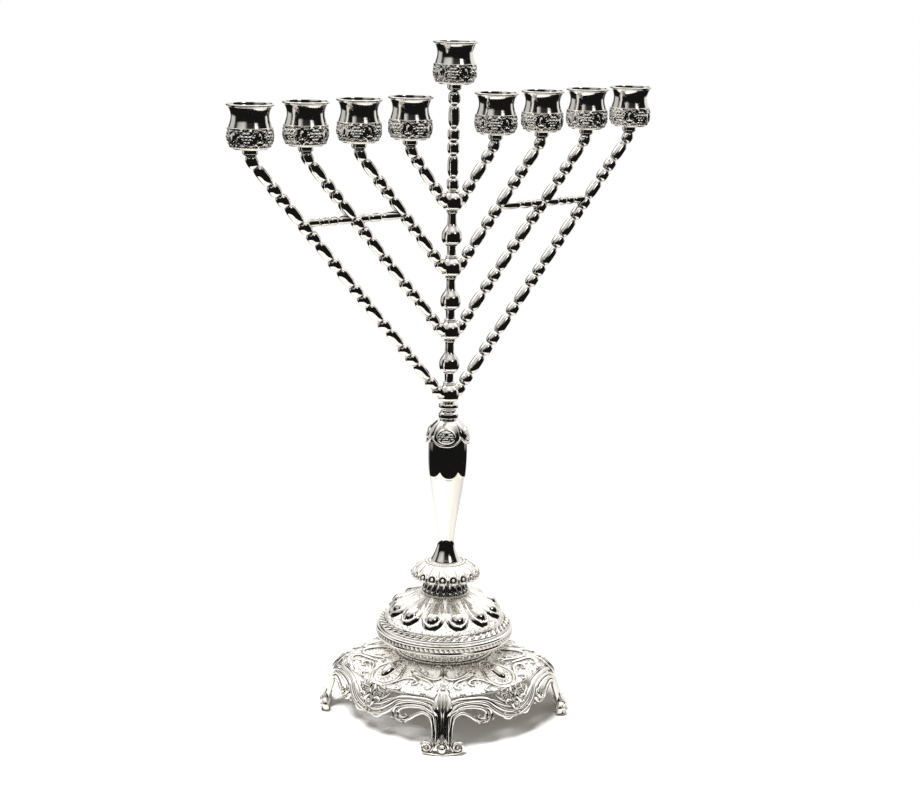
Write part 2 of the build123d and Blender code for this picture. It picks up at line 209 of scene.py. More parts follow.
def swept(path, width, height=None, up=(0, 1, 0), columns=20):
    """A closed tube along a path of points. width and height are half sizes, one value or one per point, and
    height is width unless given. up, one vector or one per point, is the direction of height."""
    count = len(path)
    width = np.broadcast_to(np.asarray(width, float), (count,))
    height = width if height is None else np.broadcast_to(np.asarray(height, float), (count,))
    tangent = unit(np.gradient(path, axis=0))
    side = unit(np.cross(up, tangent))
    rise = np.cross(tangent, side)
    a = angles(columns)[None, :, None]
    across = side[:, None] * np.cos(a) * width[:, None, None]
    return tube(path, path[:, None] + (across + rise[:, None] * np.sin(a) * height[:, None, None]))


def ellipsoid(centre, axes, radii, columns=20, rows=11):
    """A closed egg: axes are three unit vectors, radii its half sizes along them."""
    lift = np.linspace(-math.pi / 2, math.pi / 2, rows)[:, None, None]
    turn = angles(columns)[None, :, None]
    a, b, c = (np.asarray(axis, float) * radius for axis, radius in zip(axes, radii))
    ring_points = np.cos(lift) * (a * np.cos(turn) + b * np.sin(turn))
    return grid_shell(np.asarray(centre) + ring_points + np.sin(lift) * c)


def turned_about(shell, degrees):
    """A shell turned about the column."""
    points, faces = shell
    a = math.radians(degrees)
    turn = np.array([[math.cos(a), -math.sin(a), 0], [math.sin(a), math.cos(a), 0], [0, 0, 1]])
    return points @ turn.T, faces


def mirrored_y(shell):
    """A shell mirrored across the XZ plane, still facing out."""
    points, faces = shell
    return points * np.array([1, -1, 1]), faces[:, ::-1]


def mesh_object(name, shells):
    """A mesh object from closed shells, smooth except where it turns by more than CREASE."""
    points, faces, start = [], [], 0
    for shell_points, shell_faces in shells:
        points.append(shell_points * MM)
        faces.append(shell_faces + start)
        start += len(shell_points)
    mesh = bpy.data.meshes.new(name)
    mesh.from_pydata(np.vstack(points).tolist(), [], np.vstack(faces).tolist())
    cleaned = bmesh.new()
    cleaned.from_mesh(mesh)
    bmesh.ops.remove_doubles(cleaned, verts=cleaned.verts, dist=MERGE)
    cleaned.to_mesh(mesh)
    cleaned.free()
    mesh.polygons.foreach_set("use_smooth", np.ones(len(mesh.polygons), bool))
    mesh.set_sharp_from_angle(angle=math.radians(CREASE))
    thing = bpy.data.objects.new(name, mesh)
    bpy.context.scene.collection.objects.link(thing)
    return thing


def add_piece(name, node, shells, material, stands_for=True):
    """Makes an object of closed shells on its node's body. If it stands for the node,
    the node is hidden."""
    thing = mesh_object(name, shells)
    thing.data.materials.append(material)
    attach(thing, body_of_node(node))
    if stands_for:
        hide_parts(node)


# ---------------------------------------------------------------- relief in a flat patch

def patch(theta, count, radius, turn=0):
    """Position across the nearest of count equal sectors, along the arc at radius, 0 in its middle."""
    share = ((theta - math.radians(turn)) * count / TAU + 0.5) % 1 - 0.5
    return share * TAU * radius / count


def half_round(square):
    """Height of a half-round section over the squared distance from its middle, where 1 is its edge."""
    return np.sqrt(np.clip(1 - square, 0, None))


def highest(*reliefs):
    return reduce(np.maximum, reliefs)


def boss(x, y, cx, cy, rx, ry, height):
    """A rounded bump."""
    return height * half_round(((x - cx) / rx) ** 2 + ((y - cy) / ry) ** 2)


def ring(x, y, cx, cy, rx, ry, width, height):
    """A half-round oval ring."""
    d = (np.sqrt(((x - cx) / rx) ** 2 + ((y - cy) / ry) ** 2) - 1) * (rx + ry) / 2
    return height * half_round((d / width) ** 2)


def ridge(x, y, points, width, height):
    """A half-round ridge along a run of points; width is its half width at both ends."""
    nearest = np.full(x.shape, 2.0)
    widths = np.interp(np.linspace(0, 1, len(points)), [0, 1], width)
    for (ax, ay), (bx, by), w in zip(points[:-1], points[1:], widths):
        dx = bx - ax
        dy = by - ay
        t = np.clip(((x - ax) * dx + (y - ay) * dy) / (dx * dx + dy * dy + TINY), 0, 1)
        d2 = (x - ax - t * dx) ** 2 + (y - ay - t * dy) ** 2
        nearest = np.minimum(nearest, d2 / w**2)
    return height * half_round(nearest)


# ---------------------------------------------------------------- materials

class Nodes:
    """Short calls for making shader nodes in one tree."""

    def __init__(self, tree):
        self.tree = tree
        tree.nodes.clear()

    def add(self, kind, inputs=None, **settings):
        node = self.tree.nodes.new("ShaderNode" + kind)
        for name, value in settings.items():
            setattr(node, name, value)
        for name, value in (inputs or {}).items():
            self.put(node, name, value)
        return node

    def put(self, node, name, value):
        socket = node.inputs[name]
        if isinstance(value, bpy.types.NodeSocket):
            self.tree.links.new(value, socket)
        else:
            socket.default_value = value

    def math(self, operation, *values):
        return self.add("Math", dict(enumerate(values)), operation=operation).outputs[0]

    def noise(self, vector, scale, detail):
        return self.add("TexNoise", {"Vector": vector, "Scale": scale, "Detail": detail}).outputs["Fac"]

    def mix(self, factor, first, second, blend="MIX"):
        """first where factor is 0, second where it is 1; both are colours."""
        colours = {"Factor": factor, 6: first, 7: second}
        return self.add("Mix", colours, data_type="RGBA", blend_type=blend).outputs[2]

    def span(self, value, low, high, at_low=0, at_high=1):
        """Goes from at_low to at_high as value goes from low to high."""
        limits = {"Value": value, "From Min": low, "From Max": high, "To Min": at_low, "To Max": at_high}
        return self.add("MapRange", limits).outputs[0]

    def window(self, value, low, high, edge):
        """1 between low and high, falling to 0 over edge on both sides."""
        rise = self.span(value, low - edge, low + edge)
        return self.math("MULTIPLY", rise, self.span(value, high + edge, high - edge))

    def finish(self, kind, shader):
        self.add("Output" + kind, {"Surface": shader.outputs[0]})


# Colour of tarnish and of the painted shade that darkens recesses, creases and punched pits.
SHADE_AND_TARNISH_COLOUR = (0.075, 0.058, 0.04, 1)
WEAR_SPREAD = 0.3
# The darkening mask is random cloudy tone plus painted shade from ambient occlusion in recesses: where it
# starts, where it is full, and the roughness it adds.
DARKENING_FROM = 0.8
DARKENING_FULL = 0.4
DARKENING_ROUGHNESS = 0.25
PITS = (0.14, 0.42, 0.95, 0)          # punched pits painted dark, as painted shade and tarnish: 0.95 dark up to 0.14 from a cell's middle, not darkened from 0.42 on
CLOUD_SCALE = 55                      # noise scales are per metre
GRAIN_SCALE = 900
GRAIN_HEIGHT = 0.02
STIPPLE_SIZE = 1.6
STIPPLE_HEIGHT = 1.3
BRUSH_SCALE = 70
BRUSH_STRETCH = (1, 1, 60)
BRUSH_HEIGHT = 0.3
BUMP_STRENGTH = 0.6
BUMP_DEPTH = 0.3


def silver(name, tint, darkening_strength, roughness, crevice=1.6, frost=0, stippled=False, brushed=False):
    """Polished silver plate: bright, with warm darkening in recesses up to crevice wide, partly tarnish and
    partly painted shade, faint polishing marks and cloudy changes of gloss. frost adds a whitish matt look,
    stippled the punched ground of chased work, and brushed the lines of turned steel."""
    material = bpy.data.materials.new(name)
    material.use_nodes = True
    n = Nodes(material.node_tree)
    place = n.add("TexCoord").outputs["Object"]
    # Painted shade: ambient occlusion darkens recesses and creases up to crevice wide, standing for shade as
    # well as tarnish.
    hollow = n.add("AmbientOcclusion", {"Distance": crevice * MM}, samples=6, only_local=True).outputs["AO"]
    cloud = n.noise(place, CLOUD_SCALE, 4)
    grain = n.noise(place, GRAIN_SCALE, 2)
    wear_and_shade = n.math("ADD", n.math("MULTIPLY", n.math("SUBTRACT", cloud, 0.5), WEAR_SPREAD), hollow)
    shade_and_tarnish = n.span(wear_and_shade, DARKENING_FROM, DARKENING_FULL, 0, darkening_strength)
    gloss = n.span(cloud, 0, 1, roughness * 0.7, roughness * 1.4)
    gloss = n.math("ADD", gloss, n.math("MULTIPLY", shade_and_tarnish, DARKENING_ROUGHNESS))
    height = n.math("MULTIPLY", grain, GRAIN_HEIGHT)
    if stippled:
        cells = n.add("TexVoronoi", {"Vector": place, "Scale": 1 / (STIPPLE_SIZE * MM)}).outputs["Distance"]
        height = n.math("ADD", height, n.math("MULTIPLY", cells, STIPPLE_HEIGHT))
        # Punched pits painted darker: painted shade in the hollows together with tarnish.
        shade_and_tarnish = n.math("MAXIMUM", shade_and_tarnish, n.span(cells, *PITS))
    if brushed:
        stretched = n.add("Mapping", {"Vector": place, "Scale": BRUSH_STRETCH}).outputs[0]
        lines = n.noise(stretched, BRUSH_SCALE, 3)
        height = n.math("ADD", height, n.math("MULTIPLY", lines, BRUSH_HEIGHT))
    bump = n.add("Bump", {"Height": height, "Strength": BUMP_STRENGTH, "Distance": BUMP_DEPTH * MM})
    # The base colour goes towards the tarnish colour where tarnish and painted recess shade are.
    colour = n.mix(shade_and_tarnish, (*tint, 1), SHADE_AND_TARNISH_COLOUR)
    look = {"Base Color": colour, "Metallic": 1 - frost, "Roughness": gloss, "Normal": bump.outputs[0]}
    n.finish("Material", n.add("BsdfPrincipled", look))
    return material


SILVER_TINT = (0.955, 0.94, 0.905)
GROUND_TINT = (0.9, 0.88, 0.84)
STEEL_TINT = (0.56, 0.56, 0.55)
# The third value is how dark tarnish and painted shade in recesses get.
bright_silver = silver("bright_silver", SILVER_TINT, 0.75, 0.05)
bead_silver = silver("bead_silver", SILVER_TINT, 0.6, 0.05)
chased_silver = silver("chased_silver", SILVER_TINT, 0.9, 0.08)
cast_silver = silver("cast_silver", SILVER_TINT, 0.95, 0.08, crevice=1)
satin_silver = silver("satin_silver", SILVER_TINT, 1, 0.12, crevice=2.2, frost=0.25)
ground_silver = silver("ground_silver", GROUND_TINT, 0.8, 0.2, frost=0.4, stippled=True)
plain_steel = silver("plain_steel", STEEL_TINT, 0.5, 0.28, brushed=True)


# ---------------------------------------------------------------- cups

CUP_HEIGHT = 25.75
CUP_COLUMNS = 240
CUP_MOTIFS = 5
CUP_BEADS = 44
CUP_BORE_R = 10
CUP_FLOOR_Z = 3.6
CUP_MIDDLE_R = 13.2
FLOWER_Z = 7.4
PETAL_RING_R = 2.2
GROUND_DEPTH = 0.35
FIRST_CUP_TURN = 11
NEXT_CUP_TURN = 36


def cup_outline():
    """Outer wall up to the rolled lip, then down the socket to the screw hole."""
    wall = smooth([(10.3, 0.55), (11.9, 2.2), (13.1, 5.2), (13.3, 8), (12.9, 11), (12.75, 12.2)], 0.3)
    ledge = straight([(12.75, 12.2), (12.45, 12.5)], 0.3)
    flare = smooth([(12.45, 12.5), (11.8, 14.6), (11.25, 16.6), (11.05, 18.6), (11.3, 20.6), (11.9, 22.4),
                    (12.75, 24.1)], 0.3)
    lip = smooth([(12.75, 24.1), (13.35, 24.4), (13.75, 24.8), (13.8, 25.25), (13.5, 25.65), (13, 25.75),
                  (12.65, 25.6)], 0.12)
    mouth = smooth([(12.65, 25.6), (12.4, 24.9), (12.1, 23.6), (11.3, 22.3), (10.4, 21.7), (10, 21.4)], 0.3)
    socket = straight([(CUP_BORE_R, 21.4), (CUP_BORE_R, CUP_FLOOR_Z), (2.65, CUP_FLOOR_Z)], 1.2)
    sink = straight([(2.65, CUP_FLOOR_Z), (2.65, 2), (1.45, 2), (1.45, 0.05), (9.6, 0.05)], 0.8)
    foot = smooth([(9.6, 0.05), (10.1, 0.15), (10.3, 0.55)], 0.2)
    return joined(wall, ledge, flare, lip, mouth, socket, sink, foot)


def cup_relief(theta, r, z):
    """Chased flowers between scrolls on the lower half, over a row of beads."""
    x = patch(theta, CUP_MOTIFS, CUP_MIDDLE_R)
    half = TAU * CUP_MIDDLE_R / CUP_MOTIFS / 2
    side = np.abs(x)
    petals = []
    for a in angles(6):
        petal = (PETAL_RING_R * math.cos(a), FLOWER_Z + PETAL_RING_R * math.sin(a))
        petals.append(boss(x, z, *petal, 1.05, 1.05, 0.7))
    h = highest(
        *petals,
        boss(x, z, 0, FLOWER_Z, 1.25, 1.25, 0.95),
        ridge(side, z, scroll((0.6, 3.4), (5.3, 4.6), 300), (0.45, 0.75), 0.75),
        ridge(side, z, scroll((1.2, 11.2), (5, 9.8), -280), (0.4, 0.7), 0.7),
        ridge(side, z, scroll((4.4, 7.1), (half, 3.2), 120), (0.9, 0.4), 0.6),
        boss(side, z, half, 7.2, 0.9, 2.6, 0.8),
        boss(side, z, half - 1.9, 10.6, 0.8, 0.8, 0.6),
        boss(side, z, 3.4, FLOWER_Z, 0.5, 1.6, 0.5),
        boss(side, z, half - 1.6, 5.2, 0.6, 0.9, 0.5),
        boss(patch(theta, CUP_BEADS, 11.4), z, 0, 1.6, 0.72, 0.72, 0.55),
        0.35 * half_round(((z - 12) / 0.35) ** 2),
    )
    outside = (r > CUP_BORE_R + 0.2) & (z > 0.4) & (z < 12.45)
    return np.where(outside, h - GROUND_DEPTH * (z > 2.4) * (z < 11.7), 0)


def make_cups():
    points, faces = turned(cup_outline(), CUP_COLUMNS, cup_relief)
    for index, node in enumerate(CUP_NODES):
        low, high = node_box(node)
        foot = np.array([*(low + high)[:2] / 2, high[2] - CUP_HEIGHT])
        cup = turned_about((points, faces), NEXT_CUP_TURN * index + FIRST_CUP_TURN)[0] + foot
        add_piece(f"{node}_shell", node, [(cup, faces)], chased_silver)


# ---------------------------------------------------------------- beaded arms, stem and tie bars

BEAD_NECK_R = 1.55
TIE_NECK_R = 1.5
BEAD_LENGTH = 8.4
LONG_BEAD_LENGTH = 14
TIP_LENGTH = 7.6
# Radius and length of round (R), long (E) and tip (T) beads.
ARM_SIZES = {"R": (3.8, BEAD_LENGTH), "E": (3.5, LONG_BEAD_LENGTH), "T": (3.6, TIP_LENGTH)}
TIE_SIZES = {"R": (2.9, BEAD_LENGTH), "E": (2.7, LONG_BEAD_LENGTH)}
ARM_BEADS = ["RRERT", "RRERRERRET", "RRERRERERRERRET", "RRERRERERRERERRERRET"]
STEM_BEADS = "RERRER"
TIE_BEADS = {"outer": "ERRE", "inner": "RRE"}
ARM_START_X = 5
ARM_DROP = 2
ARM_BEND = 6
SEAT_FOOT = 3.4
BEND_CORNER = 6.2
STEM_TOP = 4.2
BEAD_FULLNESS = 3.6
BEAD_CORNER = 0.78
BEAD_STATIONS = 19
SEAT_COLUMNS = 48
BALL_COLUMNS = 64
SPACER_BALL_SHARE = 0.476


def bead_profile(letters, sizes, neck, total):
    """Running length and radius along a string of barrel-shaped beads that fills total."""
    stretch = total / sum(sizes[letter][1] for letter in letters)
    places, radii, start = [], [], 0
    t = (1 - np.cos(np.linspace(0, math.pi, BEAD_STATIONS))) / 2
    swell = np.clip(1 - np.abs(2 * t - 1) ** BEAD_FULLNESS, 0, 1) ** BEAD_CORNER
    for letter in letters:
        radius, length = sizes[letter]
        places.append(start + t * (length * stretch))
        radii.append(neck + (radius - neck) * swell)
        start += length * stretch
    places = np.concatenate(places)
    keep = np.concatenate([[True], np.diff(places) > TINY])
    return places[keep], np.concatenate(radii)[keep]


def beaded(path, letters, sizes, neck, columns=32):
    """Beads strung along a path."""
    places, radii = bead_profile(letters, sizes, neck, lengths(path)[-1])
    return swept(at_length(path, places), radii, columns=columns)


def arm_path(cup_x, hub_z):
    """Centre line of a right-hand arm: straight, then bending up into its cup seat."""
    start = np.array([ARM_START_X, 0, hub_z - ARM_DROP])
    corner = np.array([cup_x, 0, SEAT_Z - BEND_CORNER])
    top = np.array([cup_x, 0, SEAT_Z - SEAT_FOOT])
    back = corner + unit(start - corner) * ARM_BEND
    t = np.linspace(0, 1, 16)[:, None]
    bend = (1 - t) ** 2 * back + 2 * t * (1 - t) * corner + t**2 * top
    return joined(straight([start, back], 1), bend)


def seat_outline(top):
    """The collar under a cup, with the screw hole in it."""
    collar = straight([(0.1, -5.5), (0.1, -3.9), (3.3, -3.9), (3.9, -3.6), (3.9, -3.1)], 0.6, top)
    rim = smooth([(3.6, -2.9), (4.5, -2.7), (4.6, -2.2), (4.6, -0.5), (4.3, 0)], 0.3, top)
    hole = straight([(4.3, 0), (1.45, 0), (1.45, -5.5), (0.1, -5.5)], 1, top)
    return joined(collar, rim, hole)


def hub_outline(z):
    """Ball with a bell over it and the rod's bore through it; z is the height of the ball's middle."""
    foot = straight([(3.3, -HUB_BELOW), (3.6, -6.2), (3.3, -5.9)], 0.2, z)
    pear = smooth([(3.3, -5.9), (4.7, -5.35), (5.8, -4.4), (6.3, -3), (BALL_R, -1.2), (6.3, 0.6),
                   (5.8, 2.3), (4.7, 3.8), (3.6, 5)], 0.35, z)
    cap = straight([(3.6, 5), (3.75, 5.15), (3.75, 5.7), (3.5, HUB_ABOVE), (BORE_R, HUB_ABOVE)], 0.3, z)
    bore = straight([(BORE_R, HUB_ABOVE), (BORE_R, -HUB_BELOW), (3.3, -HUB_BELOW)], 2, z)
    return joined(foot, pear, cap, bore)


def make_arm_pairs():
    for pair in range(1, PAIRS + 1):
        node = f"arm_pair_{pair}"
        cup_x = sum(node_box(f"cup_{PAIRS + pair}")[i][0] for i in (0, 1)) / 2
        hub_z = HUB_Z[pair - 1]
        arm = beaded(arm_path(cup_x, hub_z), ARM_BEADS[pair - 1], ARM_SIZES, BEAD_NECK_R)
        seat = turned(seat_outline(SEAT_Z), SEAT_COLUMNS, centre=(cup_x, 0, 0))
        hub = turned(hub_outline(hub_z), BALL_COLUMNS)
        shells = [hub, arm, seat, turned_about(arm, 180), turned_about(seat, 180)]
        add_piece(f"{node}_casting", node, shells, bead_silver)


def spacer_outline(low, high, z):
    """Ball with a ringed neck over and under it; z is the height of the ball's middle."""
    foot = straight([(BORE_R, 0), (3.5, 0), (3.7, 0.4), (3.5, 0.9), (NECK_R, 1.1)], 0.3, low)
    waist = smooth([(NECK_R, low + 1.1), (2.75, low + 2.2), (NECK_R, z - 6.4)], 0.4)
    rim = straight([(NECK_R, -6.4), (3.7, -6.3), (3.8, -5.9), (3.5, -5.6)], 0.2, z)
    ball = smooth([(3.5, -5.6), (4.9, -5.1), (5.9, -4.1), (6.33, -2.6), (BALL_R, -0.9), (6.28, 0.9),
                   (5.7, 2.6), (4.6, 4.3), (3.5, 6), (2.95, 7.4)], 0.35, z)
    neck = smooth([(2.95, z + 7.4), (2.8, high - 2.2), (NECK_R, high - 1.1)], 0.4)
    head = straight([(NECK_R, -1.1), (3.5, -0.9), (3.7, -0.4), (3.5, 0), (BORE_R, 0)], 0.3, high)
    bore = straight([(BORE_R, high), (BORE_R, low)], 2)
    return joined(foot, waist, rim, ball, neck, head, bore)


def make_spacers():
    for index in range(1, PAIRS):
        node = f"spacer_{index}"
        low, high = heights(node)
        ball_z = low + SPACER_BALL_SHARE * (high - low)
        shell = turned(spacer_outline(low, high, ball_z), BALL_COLUMNS)
        add_piece(f"{node}_ball", node, [shell], bead_silver)


def make_stem():
    low, high = heights("shamash_stem")
    path = straight([(0, 0, low), (0, 0, high - STEM_TOP)], 1)
    beads = beaded(path, STEM_BEADS, ARM_SIZES, BEAD_NECK_R)
    collar = turned(seat_outline(high), SEAT_COLUMNS)
    add_piece("shamash_stem_beads", "shamash_stem", [beads, collar], bead_silver)


def make_tie_bars():
    for side in ("left", "right"):
        for place, letters in TIE_BEADS.items():
            node = f"tie_bar_{side}_{place}"
            low, high = node_box(node)
            ends = (high[0], low[0]) if side == "right" else (low[0], high[0])
            z = (low[2] + high[2]) / 2
            path = straight([(ends[0], 0, z), (ends[1], 0, z)], 0.5)
            bar = beaded(path, letters, TIE_SIZES, TIE_NECK_R, columns=24)
            add_piece(f"{node}_beads", node, [bar], bead_silver)


# ---------------------------------------------------------------- column

LOBES = 6
LOBE_TURN = -122
LOBE_OFFSET = 0.3
LOBES_START_Z = 104.5
LOBES_RISE = 11
FINGER_END_Z = 157.6
FINGER_NOTCH = 6.2
FINGER_ROUNDING = 1.3
CORE_FOOT = (7.5, 131.5)
CORE_TOP = (12, 164.6)
BALUSTER_COLUMNS = 288
PETALS = 4
PETAL_TURN = -43.3
PETAL_TIP_Z = 179
PETAL_CUSP_Z = 184
PETAL_MAX_R = 14
PETAL_WALL = 1
PETAL_INNER_R = 12.9
PETAL_COLUMNS = 256
PETAL_ROWS = 44
MEDALLION_Z = 186
MEDALLION_R = 11.5
COURSE_HEIGHT = 1.5
BRICK_LENGTH = 2.2
COLLAR_COLUMNS = 96
KNOP_RIBS = 19
KNOP_R = 21.2
KNOP_BEADS = 60
KNOP_COLUMNS = 560
EGGS = 22
EGG_BEADS = 70
EGG_COLUMNS = 440


def lobed(theta, r, z):
    """Radius of the fluted stem. Round lobes run up it and fade out in the foot. Those of the upper part end
    in rounded fingers, which stand proud of a plain conical core."""
    share = ((theta - math.radians(LOBE_TURN)) * LOBES / TAU + 0.5) % 1 - 0.5
    a = share * TAU / LOBES
    round_lobes = LOBE_OFFSET * np.cos(a) + np.sqrt((1 - LOBE_OFFSET) ** 2 - (LOBE_OFFSET * np.sin(a)) ** 2)
    fade = np.clip((z - LOBES_START_Z) / LOBES_RISE, 0, 1)
    fluted = r * (1 + (round_lobes - 1) * fade**2 * (3 - 2 * fade))
    end = FINGER_END_Z + FINGER_NOTCH * (1 - np.sqrt(1 - (2 * share) ** 2))
    below = np.clip((end - z) / FINGER_ROUNDING, 0, 1)
    core = np.interp(z, [CORE_FOOT[1], CORE_TOP[1]], [CORE_FOOT[0], CORE_TOP[0]])
    core = np.where(z > CORE_FOOT[1], np.minimum(core, fluted), fluted)
    return fluted + (core - fluted) * below**2 * (3 - 2 * below)


def make_baluster():
    low, top = heights("baluster")
    foot = smooth([(9, 0), (9.4, 0.4), (9.3, 1), (8.5, 2.6)], 0.3, low)
    body = smooth([(8.5, 103.6), (7.4, 106), (6.3, 109), (5.65, 112.5), (5.7, 117.5), (6.4, 124),
                   (7.5, 131.5), (8.8, 139), (10.35, 147), (11.65, 155.5), (12.25, 161), (12.65, 168),
                   (12.7, 175), (12.5, top)], 0.45)
    outline = joined(foot, body, straight([(12.5, top), (BORE_R, top), (BORE_R, low), (9, low)], 3))[:-1]
    theta = angles(BALUSTER_COLUMNS)[None, :]
    r = outline[:, 0:1] + 0 * theta
    z = outline[:, 1:2] + 0 * theta
    r = np.where(r > BORE_R + 0.2, lobed(theta, r, z), r)
    shell = grid_shell(around(r, theta, z), wrap_rows=True)
    add_piece("baluster_body", "baluster", [shell], bright_silver)


def petal_relief(share, x, rows, z, edge_z):
    """Puffed petals with a creased gap between them, a rolled edge and an oval medallion of plain courses."""
    across = np.abs(share) * 2
    puff = 0.9 * (1 - across**2) * np.sin(math.pi * np.clip(rows * 0.9 + 0.1, 0, 1))
    gap = -0.9 * np.exp(-((1 - across) / 0.07) ** 2) * (1 - rows**4)
    y = z - MEDALLION_Z
    inside = (x / 4.5) ** 2 + (y / 3.6) ** 2 < 1
    course = np.abs(((y / COURSE_HEIGHT) % 1) - 0.5) > 0.36
    shift = 0.5 * (np.floor(y / COURSE_HEIGHT) % 2)
    brick = np.abs(((x / BRICK_LENGTH + shift) % 1) - 0.5) > 0.4
    return puff * 0.6 + gap + highest(
        half_round(((z - edge_z - 0.7) / 0.75) ** 2) * 0.55,
        ring(x, y, 0, 0, 4.9, 4, 0.5, 0.6),
        np.where(inside, 0.28 * (1 - np.maximum(course, brick)), 0),
        boss(x, y, 0, 2.2, 1.6, 1.2, 0.6),
    )


def make_petal_cap():
    top = heights("petal_cap")[1]
    theta = angles(PETAL_COLUMNS)[None, :]
    share = patch(theta, PETALS, PETALS / TAU, PETAL_TURN)
    edge_z = PETAL_TIP_Z + (PETAL_CUSP_Z - PETAL_TIP_Z) * (np.abs(share) * 2) ** 2.6
    bell = smooth([(13.3, 179), (13.35, 181), (12.9, 184.5), (11.6, 188.2), (9.4, 191.6), (7, top)], 0.3)
    rows = np.linspace(0, 1, PETAL_ROWS)[:, None]
    z = edge_z + (top - edge_z) * rows
    x = share * TAU / PETALS * MEDALLION_R
    outer = np.interp(z, bell[:, 1], bell[:, 0]) + petal_relief(share, x, rows, z, edge_z)
    outer = np.minimum(outer, PETAL_MAX_R)
    inner = around(np.minimum(outer - PETAL_WALL, PETAL_INNER_R), theta, z)[:14:3]
    underside = around(BORE_R, theta[0], inner[-1][:, 2].max())
    crown = around(BORE_R, theta[0], top)
    points = np.concatenate([around(outer, theta, z), crown[None], underside[None], inner[::-1]])
    add_piece("petal_cap_shell", "petal_cap", [grid_shell(points, wrap_rows=True)], chased_silver)


def make_ringed_collar():
    low, top = heights("ringed_collar")
    foot = smooth([(5.3, 0), (4.9, 0.5), (5.4, 1)], 0.2, low)
    ring_a = smooth([(5.6, 1.1), (6.13, 1.7), (6.13, 4), (5.6, 4.65)], 0.25, low)
    groove = smooth([(5.3, 4.8), (4.86, 5.6), (4.86, 6.6), (5.3, 7.4)], 0.25, low)
    ring_b = smooth([(5.6, low + 7.6), (6.13, low + 8.2), (6.13, top - 1), (5.5, top - 0.2), (4.6, top)],
                    0.25)
    bore = straight([(4.6, top), (BORE_R, top), (BORE_R, low), (5.3, low)], 1.5)
    shell = turned(joined(foot, ring_a, groove, ring_b, bore), COLLAR_COLUMNS)
    add_piece("ringed_collar_body", "ringed_collar", [shell], bright_silver)


def make_knop():
    z0, top = heights("knop")
    under = straight([(BORE_R, z0), (14, z0)], 1.5)
    lower = smooth([(14, 0), (18.6, 0.15), (20.6, 0.8), (21.4, 2)], 0.2, z0)
    upper = smooth([(21.4, 2), (21.2, 3.4), (20, 5.2), (17.6, 7.5), (15, 9.2), (12.6, 10.2)], 0.2, z0)
    rings = smooth([(12.6, 10.2), (12.3, 10.7), (11.8, 10.75), (11.5, 10.4), (11, 10.5)], 0.15, z0)
    crown = smooth([(11, z0 + 10.5), (10.8, top), (10.2, top)], 0.2)
    close = straight([(10.2, top), (BORE_R, top), (BORE_R, z0)], 2)
    loop_z = z0 + 3.6

    def relief(theta, r, z):
        """Ribs with scooped panels between, balls in loops at the panels' feet, and a ring of beads."""
        x = patch(theta, KNOP_RIBS, KNOP_R)
        half = TAU * KNOP_R / KNOP_RIBS / 2
        side = half - np.abs(x)
        slope = np.clip((z - loop_z) / (z0 + 10.2 - loop_z), 0, 1)
        rib = 0.6 * half_round((side / (0.7 + 0.25 * slope)) ** 2) * (z > loop_z)
        loop = ring(x, z, 0, loop_z - 0.1, 2.85, 2.35, 0.55, 1.1)
        ball = boss(x, z, 0, loop_z + 0.2, 1.15, 0.95, 0.8)
        scoop = -0.35 * np.clip(1 - (x / (half - 0.6)) ** 2, 0, None) * np.sin(math.pi * slope) ** 0.5
        sunk = scoop - 1.9 * ((x / 2.6) ** 2 + ((z - loop_z) / 2) ** 2 < 1)
        gap = -1.3 * (z < loop_z) * np.clip(1 - (side / 0.8) ** 2, 0, None)
        h = highest(rib, loop, ball)
        h = np.where(h > 0.05, h, sunk) + gap
        outer = (r > 15) & (z > z0 + 0.4) | (r > 12.7) & (z > z0 + 6) & (z < z0 + 10)
        beads = boss(patch(theta, KNOP_BEADS, 12), z, 0, z0 + 10.5, 0.5, 0.6, 0.4) * (r > 11.4) * (r < 12.9)
        return np.where(outer, h, 0) + beads

    shell = turned(joined(under, lower, upper, rings, crown, close), KNOP_COLUMNS, relief)
    add_piece("knop_body", "knop", [shell], satin_silver)


def make_egg_collar():
    z0, top = heights("egg_collar")
    flange = smooth([(14.8, 0), (15.7, 0.2), (15.8, 0.8), (15.1, 1.2), (14.2, 1.4)], 0.15, z0)
    wall = smooth([(14.2, z0 + 1.4), (14.1, z0 + 2.6), (13.5, z0 + 4.6), (12.7, z0 + 7), (12.3, top)], 0.25)
    close = straight([(12.3, top), (BORE_R, top), (BORE_R, z0), (14.8, z0)], 2)

    def relief(theta, r, z):
        """Upright eggs, each in a thin shell, over a beaded foot."""
        x = patch(theta, EGGS, 14.2)
        eggs = boss(x, z, 0, z0 + 4.9, 1.2, 3.5, 1)
        shells = ring(x, z, 0, z0 + 5, 1.85, 4.2, 0.28, 0.8)
        foot = boss(patch(theta, EGG_BEADS, 15.6), z, 0, z0 + 0.6, 0.62, 0.55, 0.4)
        return np.where((z > z0 + 1.3) & (r > 12), highest(eggs, shells), 0) + foot * (r > 14.6)

    shell = turned(joined(flange, wall, close), EGG_COLUMNS, relief)
    add_piece("egg_collar_body", "egg_collar", [shell], chased_silver)


# ---------------------------------------------------------------- drip plate

GADROONS = 12
GADROON_TURN = -22.3
DROP_Y = 29.6
DROP_R = 5
DRUM_PANELS = 40
DRUM_MIDDLE = 4.4
PLATE_COLUMNS = 420
GROUND_COLUMNS = 180
PLATE_BORE_R = 2.1
# Ropes: radius, height, strands, where the face under it looks (out, up), a strand's half sizes, its slant.
ROPES = [
    (40.1, 20.2, 50, (0.57, 0.82), (3.1, 1.05, 1.8), 40),
    (42.9, 13.5, 84, (1, 0), (1.75, 0.64, 1.4), -42),
    (31.3, 0.55, 96, (1, 0), (1, 0.45, 0.6), 40),
]


